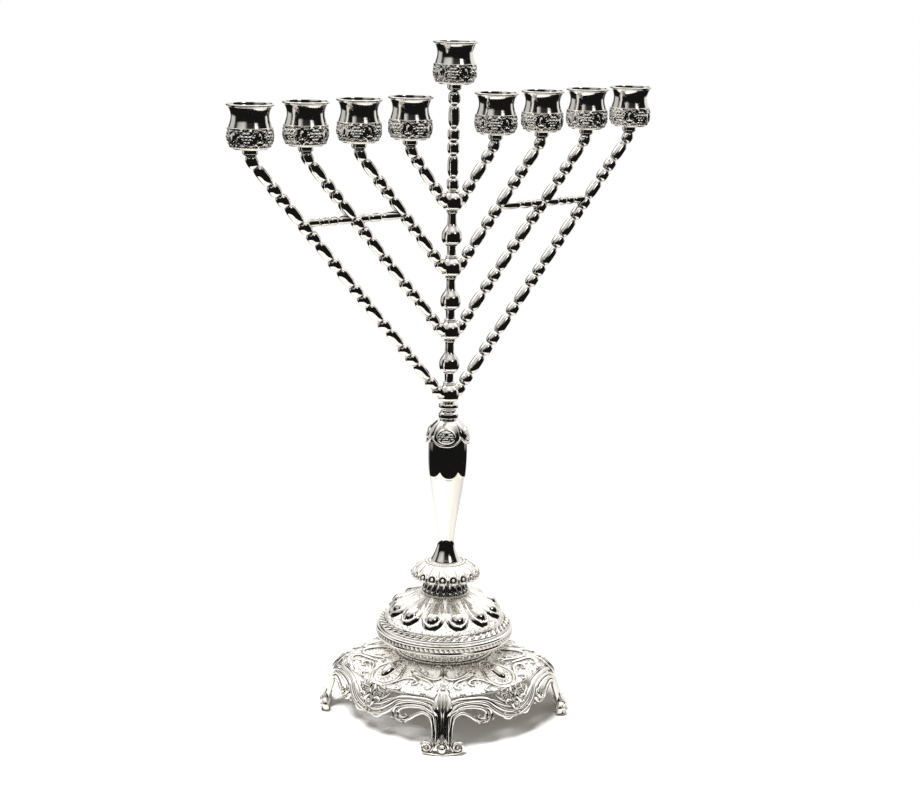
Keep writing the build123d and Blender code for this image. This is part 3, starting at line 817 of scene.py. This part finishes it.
def plate_outline(z0):
    """Drum, flat underside, rolled rim, brim, rope seat and dome, closed inside; z0 is the drum's foot."""
    drum = straight([(31.4, 0), (31.4, 1), (29.9, 1.3), (29.7, 7.4), (30.9, 7.7), (31.6, 8.4)], 0.36, z0)
    under = smooth([(31.6, 8.4), (35, 8.9), (40, 9.4), (41.6, 9.3), (42, 9.7)], 0.6, z0)
    rim = smooth([(42, 9.7), (43.2, 10.3), (43.5, 11.4), (43.1, 12.3), (43.1, 13.5), (43.1, 14.6),
                  (43.9, 15.2), (44.1, 16.1), (43.7, 17.1), (42.6, 17.5)], 0.3, z0)
    brim = smooth([(42.6, 17.5), (42, 17.5), (41.9, 18.9), (41.6, 19.5)], 0.2, z0)
    seat = smooth([(38.6, 21.6), (39.2, 20.6), (41.6, 19.5)], 0.4, z0)[::-1]
    dome = smooth([(14.3, 39), (18.5, 36.9), (23.5, 33.6), (28.5, 30), (33, 26.9), (36.5, 24.3),
                   (38.6, 21.6)], 0.45, z0)[::-1]
    top = straight([(14.3, 39), (PLATE_BORE_R, 39), (PLATE_BORE_R, 36.8)], 1.5, z0)
    inner = smooth([(PLATE_BORE_R, 36.8), (13, 36.8), (23, 31.5), (32, 25), (39.5, 18), (41.2, 15),
                    (40, 11.6), (28.4, 7.4), (27.9, 0)], 1.5, z0)
    return joined(drum, under, rim, brim, seat, dome, top, inner, drum[:1])


def rope_ring(radius, height, strands, facing, sizes, slant):
    """A rope laid round the column as separate slanted strands; see ROPES."""
    outward = unit(np.array([facing[0], 0, facing[1]]))
    tangent = np.array([0, 1, 0])
    a = math.radians(slant)
    along = math.cos(a) * tangent + math.sin(a) * np.cross(outward, tangent)
    strand = ellipsoid((radius, 0, height), (along, np.cross(outward, along), outward), sizes, 10, 7)
    return [turned_about(strand, 360 * index / strands) for index in range(strands)]


def plate_relief(theta, r, z):
    """Drop-shaped gadroons in raised rims on the dome, studded panels round the drum; z is from its foot."""
    x = patch(theta, GADROONS, 1, GADROON_TURN) * r
    half = np.interp(r, [15, 18, 22, 26, DROP_Y], [0.7, 1.5, 3, 4.5, DROP_R])
    far = np.hypot(x, r - DROP_Y)
    inside = np.where(r > DROP_Y, far / DROP_R, np.abs(x) / half)
    gadroon = np.interp(r, [15, 20, 25, 29, 36], [0.6, 1.5, 3.4, 5.2, 5.2]) * half_round(inside**2)
    gap = np.where(r > DROP_Y, far - DROP_R, np.abs(x) - half)
    rim = np.interp(r, [15, 24, 31], [0.4, 1.3, 2.7])
    rim = rim * np.clip(1 - (np.clip(gap - 0.6, 0, None) / 2.3) ** 1.4, 0, None)
    dome_top = (r > 14.6) & (r < 38) & (z > 20) & (z > 36.8 - (r - 13) * 0.62)
    panel = patch(theta, DRUM_PANELS, 29.8)
    frame_line = 0.5 * ((np.abs(np.abs(panel) - 2.05) < 0.28) | (np.abs(z - DRUM_MIDDLE) > 2.6))
    stud = boss(panel, z, 0, DRUM_MIDDLE, 1.3, 1.6, 0.45)
    drum = (z > 1.35) * (z < 7.35) * (r > 29.3) * (r < 30.4)
    return np.where(dome_top, highest(gadroon, rim * (gap > -0.3)), 0) + highest(frame_line, stud) * drum


def make_dome_plate():
    z0 = heights("dome_plate")[0]
    shells = [turned(plate_outline(z0), PLATE_COLUMNS, lambda theta, r, z: plate_relief(theta, r, z - z0))]
    for radius, height, *shape in ROPES:
        shells += rope_ring(radius, z0 + height, *shape)
    add_piece("dome_plate_shell", "dome_plate", shells, chased_silver)
    skin = smooth([(14.9, 39), (18.7, 37.2), (23.7, 33.9), (28.7, 30.3), (33.2, 27.2), (36.8, 24.55),
                   (38.6, 22.4)], 0.5, z0)[::-1]
    back = skin[::-1] - (0.7, 0.9)
    ground = turned(joined(skin, back, [skin[0]]), GROUND_COLUMNS)
    add_piece("dome_ground", "dome_plate", [ground], ground_silver, stands_for=False)


# ---------------------------------------------------------------- skirt and legs

# The skirt's outer face as (radius, height), down the middle of a side and down a leg.
SKIRT_SIDE = [(31.9, 40.6), (40, 39), (48, 36.8), (55, 34.2), (61, 30.4), (64.5, 24), (66.5, 14.5)]
SKIRT_CORNER = [(31.9, 40.6), (42, 40.4), (51, 39.3), (59.5, 36.8), (66, 32.8), (70.5, 27), (72.5, 20)]
CORNER_WIDTH = 15
SKIRT_WALL = 1.6
SKIRT_COLUMNS = 720
SKIRT_ROWS = 52
CROWN_HOLE_R = 22
BORDER_SIDE = 0.625
BORDER_CORNER = 0.095
BORDER_WIDTH = 10
BLUNT = 0.06
side_curve = smooth(SKIRT_SIDE, 0.5)
corner_curve = smooth(SKIRT_CORNER, 0.5)
SLOPE_LENGTH = lengths(side_curve)[-1]


def from_leg(phi):
    """Degrees from the nearest leg."""
    return ((phi + 45) % 90) - 45


def skirt_point(phi, u):
    """Point of the skirt's outer face: phi is degrees from the leg along +X, u runs 0 to 1 downwards."""
    phi = np.asarray(phi, float)
    u = np.asarray(u, float)
    side = at_length(side_curve, u * SLOPE_LENGTH)
    corner = at_length(corner_curve, u * lengths(corner_curve)[-1])
    weight = np.exp(-((from_leg(phi) / CORNER_WIDTH) ** 2))[..., None]
    flat = side * (1 - weight) + corner * weight
    return around(flat[..., 0], np.radians(phi), flat[..., 1])


def skirt_normal(phi, u):
    step_phi = skirt_point(phi + 0.5, u) - skirt_point(phi - 0.5, u)
    step_u = skirt_point(phi, np.clip(u + 0.01, 0, 1)) - skirt_point(phi, np.clip(u - 0.01, 0, 1))
    return unit(np.cross(step_u, step_phi))


def skirt_frame(phi, u):
    """Outward normal, downhill direction and sideways direction of the skirt's face."""
    normal = skirt_normal(phi, u)
    downhill = unit(skirt_point(phi, u + 0.01) - skirt_point(phi, u - 0.01))
    return normal, downhill, np.cross(normal, downhill)


def on_skirt(points, width, height, lift, columns):
    """A ribbon that follows the skirt through (phi, u) points; BLUNT is how full its tapered ends stay."""
    phi, u = points.T
    normal = skirt_normal(phi, u)
    share = np.linspace(0, 1, len(points))
    taper = np.sin(np.clip(BLUNT + (1 - 2 * BLUNT) * share, 0, 1) * math.pi) ** 0.35
    width, height = (np.interp(share, np.linspace(0, 1, np.size(size)), np.atleast_1d(size)) * taper
                     for size in (width, height))
    return swept(skirt_point(phi, u) + normal * lift, width, height, normal, columns)


def stroke(points, width, height, lift=0, columns=9):
    """A ribbon through a few (phi, u) points, curved smoothly between them."""
    scale = np.array([1, SLOPE_LENGTH])
    return on_skirt(smooth(np.asarray(points) * scale, 1) / scale, width, height, lift, columns)


def knob(phi, u, radius, height, stretch=1):
    """A rounded stud on the skirt, longer by stretch along the slope."""
    normal, downhill, sideways = skirt_frame(phi, u)
    return ellipsoid(skirt_point(phi, u), (sideways, downhill, normal), (radius, radius * stretch, height))


def rosette(phi, u, radius):
    """A small flower of five petals on the skirt."""
    shells = [knob(phi, u, radius * 0.42, radius * 0.9)]
    for a in angles(5):
        place = (phi + radius * 0.85 * math.cos(a), u + radius * 0.85 * math.sin(a) / SLOPE_LENGTH)
        shells.append(knob(*place, radius * 0.48, radius * 0.6))
    return shells


def both_sides(shells):
    return shells + [mirrored_y(shell) for shell in shells]


def border_share(phi):
    """How far down the slope the smooth plate reaches."""
    return BORDER_SIDE + BORDER_CORNER * np.exp(-((from_leg(phi) / BORDER_WIDTH) ** 2))


def plate_shell():
    """The skirt's smooth plate, from the crown to its border."""
    phi = np.linspace(0, 360, SKIRT_COLUMNS + 1)[:-1][None, :]
    u = np.linspace(0, 1, SKIRT_ROWS)[:, None] * border_share(phi)
    phi = phi + 0 * u
    top = skirt_point(phi, u)
    under = top - skirt_normal(phi, u) * SKIRT_WALL
    outward = unit(under[0] * np.array([1, 1, 0]))
    hole = outward * CROWN_HOLE_R
    inner, lip = (hole + np.array([0, 0, 1]) * edge[0][:, 2:3] for edge in (under, top))
    return grid_shell(np.concatenate([top[::-1], lip[None], inner[None], under]), wrap_rows=True)


# Strokes: (phi, u) points, half width or half widths along it, half height, and how far it is lifted.
# Knobs: phi, u and radius. Both lie between a leg, at phi 0, and the middle of a side, at 45.
CHASED_STROKES = [
    ([(7.6, 0.125), (8.8, 0.075), (6, 0.04), (2.8, 0.07), (1.5, 0.16), (1.4, 0.3), (2.6, 0.385),
      (5.8, 0.41), (10.5, 0.365), (16, 0.285), (21.5, 0.215), (26.5, 0.2), (28, 0.24), (25, 0.255)],
     (0.8, 1.3, 1.6, 1.4, 0.8), 1.6),
    ([(33.5, 0.53), (31, 0.45), (27, 0.385), (22, 0.375), (18, 0.42), (17.8, 0.475), (20.4, 0.495),
      (21.2, 0.455), (19.6, 0.44)], (0.8, 1.7, 1.6, 1), 1.7),
    ([(25, 0.3), (19, 0.33), (13.5, 0.385), (9, 0.445), (6.8, 0.515), (8.2, 0.575), (11, 0.56),
      (10.4, 0.52)], (0.7, 1.6, 1.5, 0.9), 1.6),
    ([(33, 0.5), (29.5, 0.525), (27, 0.565), (28.5, 0.6), (31, 0.585), (30, 0.555)], 1, 1.3),
    ([(20, 0.23), (21.5, 0.16), (24.5, 0.13), (27.5, 0.16)], 1, 1.2),
    ([(13, 0.31), (12.5, 0.25), (15.5, 0.2), (18, 0.225)], 0.95, 1.1),
    ([(7, 0.675), (13, 0.655), (20, 0.632), (28, 0.615), (37.5, 0.61)], 0.6, 0.9),
    ([(2.5, 0.705), (5, 0.697), (8, 0.682)], 0.7, 0.9),
]
CHASED_KNOBS = [
    (22.5, 0.145, 1.1), (24.8, 0.12, 1), (27.2, 0.125, 1), (15.6, 0.17, 0.9), (10.5, 0.64, 1.1),
    (12.6, 0.63, 0.9), (13.8, 0.48, 0.9), (24, 0.44, 0.8), (17.6, 0.6, 0.7),
]
FRINGE_STROKES = [
    ([(3, 0.875), (3.6, 0.81), (5.4, 0.76), (9.5, 0.724), (15, 0.7), (21, 0.69), (26.5, 0.715),
      (30.5, 0.79), (35.5, 0.87), (41, 0.915), (44.5, 0.91)], (1.4, 1.9, 1.9, 1.6, 1.3), 1.5, 0.2),
    ([(4.4, 0.92), (5, 0.855), (7, 0.805), (11, 0.765), (16, 0.742), (21, 0.74), (25.5, 0.77),
      (29, 0.85), (34, 0.93), (40, 0.975), (44.8, 0.985)], (1, 1.3, 1.4, 1.4, 1.4, 1.2), 1.7, 0.3),
    ([(26.5, 0.7), (31, 0.745), (36, 0.81), (40.5, 0.85)], (0.7, 1.3, 1.1, 0.8), 1.4, 0.3),
    ([(5.8, 0.9), (7.4, 0.85), (10.5, 0.815), (15, 0.795), (19.5, 0.797), (23, 0.825), (24.4, 0.875),
      (23, 0.93), (20, 0.94), (18.8, 0.905), (20.4, 0.885)], (1, 1.4, 1.5, 1.4, 1.3, 1, 0.7), 1.9, 0.5),
    ([(22.5, 0.8), (25.8, 0.815), (27.4, 0.87), (26.6, 0.935), (23.6, 0.985), (21, 0.99)],
     (0.7, 1.1, 1, 0.8), 1.7, 0.4),
    ([(8, 0.9), (10.5, 0.882), (14, 0.905), (17, 0.95), (20, 0.985)], (0.9, 1.2, 1.1, 0.7), 1.6, 0.6),
    ([(45, 0.6), (42.8, 0.67), (43.6, 0.75), (41.8, 0.83), (43.4, 0.9)], (0.8, 1.4, 1.5, 1.3, 0.8), 2, 0.3),
    ([(36, 0.62), (37.5, 0.67), (41, 0.655), (41.2, 0.615), (38.8, 0.61)], 0.8, 1.4, 0.2),
    ([(32, 0.66), (34.2, 0.715), (37, 0.76), (40.5, 0.78)], (0.6, 1.1, 1), 1.5, 0.3),
    ([(38.5, 0.82), (37, 0.785), (39.2, 0.755), (41.2, 0.78), (40, 0.81)], 0.8, 1.6, 0.4),
    ([(36.5, 0.895), (35, 0.955), (38.5, 1), (42, 0.98)], (0.7, 1, 0.7), 1.5, 0.4),
    ([(17.5, 0.93), (19, 0.96), (21.6, 0.955), (22.4, 0.92)], 0.6, 1.8, 0.6),
]
FRINGE_KNOBS = [
    (25.2, 0.865, 1.2), (25.3, 0.925, 1.1), (23, 0.965, 1.2), (19.6, 0.99, 0.9), (27.4, 0.81, 0.9),
    (28.4, 0.955, 0.8), (44.9, 0.83, 1.5), (34.6, 0.655, 0.9), (12, 0.668, 0.8), (10.2, 0.675, 0.7),
    (43.6, 0.955, 0.9), (16.6, 0.915, 0.8),
]
CARTOUCHE_FRAME = ([(45, 0.045), (41, 0.055), (37.5, 0.125), (34.3, 0.25), (32.6, 0.38), (33.6, 0.5),
                    (37.5, 0.575), (41.5, 0.605), (45, 0.61)], (0.8, 1.1, 1.1, 0.9), 1.6)
CARTOUCHE_LINE = ([(45, 0.105), (41, 0.115), (37.6, 0.18), (35.6, 0.28), (34.9, 0.38), (36, 0.475),
                   (39.6, 0.54), (45, 0.56)], 0.55, 1.1)
CARTOUCHE_CURL = ([(38, 0.05), (36, 0.02), (33, 0.03), (33.5, 0.07), (35.5, 0.06)], 0.7, 1.1)
CARTOUCHE_U = 0.33


def chased_scrolls():
    """Scrollwork on the plate, for one side of a leg."""
    shells = [stroke(*line) for line in CHASED_STROKES]
    return shells + [knob(phi, u, radius, 1.1, 1.1) for phi, u, radius in CHASED_KNOBS]


def cartouche():
    """Oval boss in a ring of dots and a shield-shaped frame, for the half of it on one side of a leg."""
    shells = [knob(45, CARTOUCHE_U, 3.8, 5.4, 2.2), stroke(*CARTOUCHE_FRAME, columns=14),
              stroke(*CARTOUCHE_LINE), stroke(*CARTOUCHE_CURL)]
    for a in np.radians(range(0, 181, 20)):
        shells.append(knob(45 - 7.6 * math.sin(a), CARTOUCHE_U + 0.19 * math.cos(a), 0.6, 0.8))
    return shells


def fringe():
    """Openwork of scrolls, ribbons, leaves and flowers below the border, for one side of a leg."""
    shells = [stroke(*line) for line in FRINGE_STROKES]
    shells += rosette(37.8, 0.7, 1.8) + rosette(41.6, 0.715, 1.3)
    return shells + [knob(phi, u, radius, radius * 1.6) for phi, u, radius in FRINGE_KNOBS]


LEG_LINE = [(57, 37.6), (62, 35.7), (66.4, 32), (69.4, 26.8), (71.5, 20), (73.6, 13), (75.6, 6.5)]
LEG_HALF_WIDTH = [1.6, 3.9, 5.2, 5.8, 5.3, 5.2, 5.6]
LEG_HALF_DEPTH = [0.8, 1.3, 1.8, 2.3, 2.7, 2.9, 3]
LEG_COLUMNS = 72
RIB_COLUMNS = 14
RIB_LIFT = 0.7
# Ribs of a leg: (phi, u) points on the skirt, (x, y, z) points down the leg, half widths, half height.
RIBS = [
    ([(17, 0.945), (12.8, 0.893), (9.6, 0.882), (7.6, 0.905)],
     [(71.2, 7.2, 21.8), (72.2, 6.1, 17.5), (73.6, 5.7, 13), (74.8, 6, 9.2), (75.6, 7.4, 6.2)],
     (0.8, 1.2, 1.1, 0.9, 0.9), 1.6),
    ([(11.5, 0.828), (8.6, 0.842), (6.6, 0.875)],
     [(71.2, 5.2, 23.2), (72.3, 4.3, 18.5), (74.4, 3.7, 12.5), (76.2, 4.2, 8)],
     (0.9, 1.4, 1.4, 1.1, 0.9), 1.3),
    ([(2.5, 0.69), (3.3, 0.77), (3.3, 0.86)],
     [(71.8, 2.5, 22.6), (73.3, 1.9, 17.5), (75.5, 1.7, 11.5), (76.8, 2.4, 8)],
     (1.6, 2.3, 1.7, 0.8, 0.7), 1.1),
    ([(0.6, 0.64), (0.7, 0.76), (0.6, 0.86)],
     [(72.2, 0.45, 22), (74, 0.4, 16.5), (75.7, 0.4, 11.5), (76.9, 0.5, 8.5)],
     (0.5, 0.7, 0.6, 0.4, 0.4), 1.4),
]
FOOT_R = 76
TOE_CURL = 4
TOE_Y = 9.7
ROUND = np.eye(3)
OUTWARD = (1, 0, 0)
UPWARD = (0, 0, 1)


def leg_body():
    """The limb itself, with three ribs down its front."""
    line = smooth([(r, 0, z) for r, z in LEG_LINE], 0.5)
    share = lengths(line) / lengths(line)[-1]
    width, depth = (np.interp(share, np.linspace(0, 1, len(LEG_LINE)), sizes)[:, None, None]
                    for sizes in (LEG_HALF_WIDTH, LEG_HALF_DEPTH))
    side = np.array([0, 1, 0])
    out = np.cross(unit(np.gradient(line, axis=0)), side)[:, None, :]
    a = angles(LEG_COLUMNS)[None, :, None]
    across = np.cos(a)
    ribs = 0.72 + 0.28 * np.cos(3 * math.pi * across)
    rise = np.where(np.sin(a) > 0, np.abs(np.sin(a)) ** 0.55 * ribs, -np.abs(np.sin(a)) * 0.6)
    return tube(line, line[:, None] + side * across * width + out * rise * depth)


def limb(on_slope, on_leg, widths, height):
    """A rib that comes off the skirt and runs down a leg, on both sides of the leg; see RIBS."""
    start = [skirt_point(phi, u) + skirt_normal(phi, u) * RIB_LIFT for phi, u in on_slope]
    path = smooth(np.array(start + [np.array(point) for point in on_leg]), 0.6)
    outward = unit(path * (1, 0.5, 0)) + (0, 0, 0.3)
    share = np.linspace(0, 1, len(path))
    taper = np.sin(np.clip(0.05 + 0.9 * share, 0, 1) * math.pi) ** 0.3
    width = np.interp(share, np.linspace(0, 1, len(widths)), widths) * taper
    return both_sides([swept(path, width, height * taper, outward, RIB_COLUMNS)])


def palmette():
    """Bud with two small volutes over the knee of a leg."""
    shells = [knob(0, 0.598, 1.5, 2.1, 1.5)]
    for side in (-1, 1):
        volute = [(1.2, 0.665), (3.4, 0.655), (3.8, 0.615), (2.2, 0.605), (2, 0.635)]
        shells.append(stroke([(side * phi, u) for phi, u in volute], 0.6, 1.2))
        shells.append(stroke([(side * 3, 0.66), (side * 3.9, 0.7), (side * 4.6, 0.75)], 0.7, 1.2, 0.5))
    return shells


def toe_scroll(side):
    """A curled side toe with its eye, the web behind it and the lobe before it; side is -1 or 1."""
    curl = np.linspace(-0.7, 1.25 * TAU, 64)
    radius = TOE_CURL * (1 - 0.66 * (curl - curl[0]) / (curl[-1] - curl[0]))
    y = side * (TOE_Y + radius * np.sin(curl))
    z = TOE_CURL + 1.2 - radius * np.cos(curl)
    path = np.stack([FOOT_R - 0.6 + 0.32 * curl, y, z], -1)
    web = smooth([(FOOT_R - 2.6, side * 4.2, 12.5), (FOOT_R - 1.2, side * 4.6, 8.5),
                  (FOOT_R, side * 5.6, 5.2), (FOOT_R + 0.6, side * 7.4, 2.2)], 0.5)
    lobe = smooth([(FOOT_R + 0.4, side * 1.6, 9.4), (FOOT_R + 1.6, side * 3.2, 7.2),
                   (FOOT_R + 1.8, side * 3.9, 4.4)], 0.5)
    return [
        swept(path, 0.95, 2, OUTWARD, 14),
        ellipsoid((FOOT_R + 1, side * TOE_Y, TOE_CURL + 1.1), ROUND, (2, 1.2, 1.2), 18),
        swept(web, 1.3, 1.9, OUTWARD, 14),
        swept(lobe, 0.9, 1.4, OUTWARD, 12),
    ]


def toes():
    """Centre ball, the sole and two curled side toes."""
    ball = ellipsoid((FOOT_R + 1.6, 0, 3.9), ROUND, (3.3, 3, 3.2), 28, 17)
    sole = smooth([(FOOT_R - 0.4, -TOE_Y - 2.6, 2.6), (FOOT_R + 0.6, -TOE_Y + 1.5, 1.35),
                   (FOOT_R + 1.4, 0, 0.85), (FOOT_R + 0.6, TOE_Y - 1.5, 1.35),
                   (FOOT_R - 0.4, TOE_Y + 2.6, 2.6)], 0.6)
    return [ball, swept(sole, 3, 0.8, UPWARD, 16)] + toe_scroll(-1) + toe_scroll(1)


def make_base():
    """The cast base in three visual pieces: stippled plate, chased work with the openwork, and legs."""
    work_at_leg = both_sides(chased_scrolls() + cartouche() + fringe())
    leg = [leg_body()] + [shell for rib in RIBS for shell in limb(*rib)] + palmette() + toes()
    turns = [LEG_TURN + index * 360 / LEGS for index in range(LEGS)]
    work, legs = ([turned_about(shell, turn) for turn in turns for shell in shells]
                  for shells in (work_at_leg, leg))
    add_piece("skirt_plate", "base_skirt", [turned_about(plate_shell(), LEG_TURN)], ground_silver)
    add_piece("skirt_scrollwork", "base_skirt", work, cast_silver, stands_for=False)
    add_piece("skirt_legs", "base_skirt", legs, cast_silver, stands_for=False)


# ---------------------------------------------------------------- carried-over nodes

def dress_hidden_nodes():
    for node in ("clamp_plate", "tie_rod", "rod_washer", "rod_nut", "cup_screws"):
        thing = frame["nodes"][node]
        thing.data.materials.clear()
        thing.data.materials.append(plain_steel)


# ---------------------------------------------------------------- stage, light and camera

CAMERA_AZIMUTH = -38.29
CAMERA_DISTANCE = 1213.6
CAMERA_HEIGHT = 496.4
CAMERA_PITCH = 13.42
CAMERA_ROLL = 1.19
CAMERA_YAW = 0.34
CAMERA_LENS = 77.4
CAMERA_CLIP = 0.01
FLOOR_FRONT = 0.292                   # reach of the paper towards the camera, and how much more it is
FLOOR_SPREAD = 0.13                   # at FLOOR_BACK_ANGLE from there
FLOOR_BACK_ANGLE = 135
FLOOR_POWER = 1.5
FLOOR_POINTS = 128
PAPER_TONE = (0.94, 0.94, 0.935, 1)
PAPER_IN_METAL = (0.6, 0.588, 0.568, 1)
KEY_POWER = 48
KEY_SIZE = 0.75
KEY_PLACE = (-0.5, -0.6, 1.45)
WHITE = (1, 1, 1, 1)
STUDIO_GLOW = (0.34, 0.32, 0.28, 1)
STUDIO_TINT = (1, 0.985, 0.955, 1)
ROOM_DARK = 0.008
CEILING_CLOUDS = (2.6, 3)             # noise scale and detail
CLOUD_BASE = 0.35
CLOUD_GAIN = 1.25
CEILING_GLOW = (25, 60, 0, 0.9)       # elevation from and to, brightness at both
ZENITH_GLOW = (55, 80, 0, 0.3)
FIGURE_SHADE = 0.85
LIGHT_LIMIT = 2.6
# What the metal sees: low, high and edge of azimuth and of elevation, and strength, all in degrees but the
# strength. Azimuth is 0 at the camera and 90 on its right.
FIGURE = ((-13, 30, 7), (-60, 38, 5))
MIRRORED_LIGHTS = [
    ((156, 200, 8), (-30, 35, 6), 0.9),      # paper behind the object
    ((95, 200, 10), (32, 95, 8), 0.5),       # back half of the ceiling
]
LIGHTS = [
    ((-132, -92, 6), (-11, 60, 3), 0.55),    # back left screen
    ((108, 158, 5), (-11, 60, 3), 0.8),      # back right screen
    ((-72, -20, 9), (20, 36, 5), 0.55),      # window
    ((34, 52, 3), (27, 36, 2.5), 2.4),       # lamp
]


def make_floor():
    """White paper that reaches further behind the object than in front. The metal mirrors its outline."""
    a = angles(FLOOR_POINTS)
    from_front = np.degrees(np.abs((a - math.radians(CAMERA_AZIMUTH - 90) + math.pi) % TAU - math.pi))
    radius = FLOOR_FRONT + FLOOR_SPREAD * (from_front / FLOOR_BACK_ANGLE) ** FLOOR_POWER
    floor = bpy.data.meshes.new("floor")
    floor.from_pydata(around(radius, a, 0).tolist(), [], [list(range(FLOOR_POINTS))])
    thing = bpy.data.objects.new("floor", floor)
    bpy.context.scene.collection.objects.link(thing)
    material = bpy.data.materials.new("paper")
    material.use_nodes = True
    n = Nodes(material.node_tree)
    tone = n.mix(n.add("LightPath").outputs["Is Glossy Ray"], PAPER_TONE, PAPER_IN_METAL)
    n.finish("Material", n.add("BsdfDiffuse", {"Color": tone}))
    floor.materials.append(material)


def sky_angles(n, direction):
    """Azimuth and elevation of a direction seen from the object, in degrees, with the camera at azimuth 0."""
    forward = n.add("VectorTransform", {"Vector": (0, 0, 1)}, vector_type="VECTOR", convert_from="CAMERA",
                    convert_to="WORLD").outputs[0]
    d = n.add("SeparateXYZ", {0: direction}).outputs
    f = n.add("SeparateXYZ", {0: forward}).outputs
    away = n.math("ADD", n.math("MULTIPLY", d[0], f[0]), n.math("MULTIPLY", d[1], f[1]))
    right = n.math("SUBTRACT", n.math("MULTIPLY", d[0], f[1]), n.math("MULTIPLY", d[1], f[0]))
    azimuth = n.math("DEGREES", n.math("ARCTAN2", right, n.math("MULTIPLY", away, -1)))
    return azimuth, n.math("DEGREES", n.math("ARCSINE", d[2]))


def studio_light(n, direction):
    """Brightness of the room in the metal: a cloudy ceiling with a dark figure in it, and the lights."""
    azimuth, elevation = sky_angles(n, direction)

    def area(across, upward, mirrored=False):
        side = n.math("ABSOLUTE", azimuth) if mirrored else azimuth
        return n.math("MULTIPLY", n.window(side, *across), n.window(elevation, *upward))

    clouds = n.math("MULTIPLY", n.noise(direction, *CEILING_CLOUDS), CLOUD_GAIN)
    glow = n.math("MULTIPLY", n.span(elevation, *CEILING_GLOW), n.math("ADD", CLOUD_BASE, clouds))
    ceiling = n.math("ADD", glow, n.span(elevation, *ZENITH_GLOW))
    shade = n.math("MULTIPLY", area(*FIGURE), FIGURE_SHADE)
    ceiling = n.math("MULTIPLY", ceiling, n.math("SUBTRACT", 1, shade))
    light = n.math("ADD", ROOM_DARK, ceiling)
    for places, mirrored in ((MIRRORED_LIGHTS, True), (LIGHTS, False)):
        for across, upward, strength in places:
            light = n.math("ADD", light, n.math("MULTIPLY", area(across, upward, mirrored), strength))
    return n.math("MINIMUM", light, LIGHT_LIMIT)


def make_world():
    """Studio surroundings. The camera sees white. Metal reflects a dark room with a few soft lights on the
    camera's side and white paper behind. The pattern turns with the camera, as on a turntable."""
    world = bpy.data.worlds.new("studio")
    bpy.context.scene.world = world
    world.use_nodes = True
    world.cycles.sampling_method = "NONE"
    n = Nodes(world.node_tree)
    light = studio_light(n, n.add("TexCoord").outputs["Generated"])
    in_metal = n.mix(1, STUDIO_TINT, light, "MULTIPLY")
    path = n.add("LightPath").outputs
    elsewhere = n.mix(path["Is Camera Ray"], STUDIO_GLOW, WHITE)
    seen = n.mix(path["Is Glossy Ray"], elsewhere, in_metal)
    n.finish("World", n.add("Background", {"Color": seen, "Strength": 1}))


def make_key_light():
    """A soft box up on the camera's left: it shapes the shadow and doesn't show in the metal."""
    data = bpy.data.lights.new("key", "AREA")
    data.shape = "DISK"
    data.size = KEY_SIZE
    data.energy = KEY_POWER
    light = bpy.data.objects.new("key", data)
    light.visible_glossy = False
    place = Vector(KEY_PLACE)
    place.rotate(Matrix.Rotation(math.radians(CAMERA_AZIMUTH), 3, "Z"))
    light.location = place
    light.rotation_euler = place.to_track_quat("Z", "Y").to_euler()
    bpy.context.scene.collection.objects.link(light)


def make_camera():
    """The photo's camera: placed and tilted before the object, then turned about the column."""
    pitch, yaw, roll = (math.radians(angle) for angle in (CAMERA_PITCH, CAMERA_YAW, CAMERA_ROLL))
    look = np.array([math.sin(yaw) * math.cos(pitch), math.cos(yaw) * math.cos(pitch), -math.sin(pitch)])
    right = unit(np.cross(look, [0, 0, 1]))
    up = np.cross(right, look)
    rolled_right = math.cos(roll) * right + math.sin(roll) * up
    rolled_up = math.cos(roll) * up - math.sin(roll) * right
    place = Matrix.Translation((0, -CAMERA_DISTANCE * MM, CAMERA_HEIGHT * MM))
    for row in range(3):
        place[row][0:3] = rolled_right[row], rolled_up[row], -look[row]
    data = bpy.data.cameras.new("camera")
    data.lens = CAMERA_LENS
    data.clip_start = CAMERA_CLIP
    camera = bpy.data.objects.new("camera", data)
    camera.matrix_world = Matrix.Rotation(math.radians(CAMERA_AZIMUTH), 4, "Z") @ place
    bpy.context.scene.collection.objects.link(camera)
    bpy.context.scene.camera = camera


make_cups()
make_arm_pairs()
make_spacers()
make_stem()
make_tie_bars()
make_baluster()
make_petal_cap()
make_ringed_collar()
make_knop()
make_egg_collar()
make_dome_plate()
make_base()
dress_hidden_nodes()
make_floor()
make_world()
make_key_light()
make_camera()
bpy.context.scene.view_settings.view_transform = "Standard"
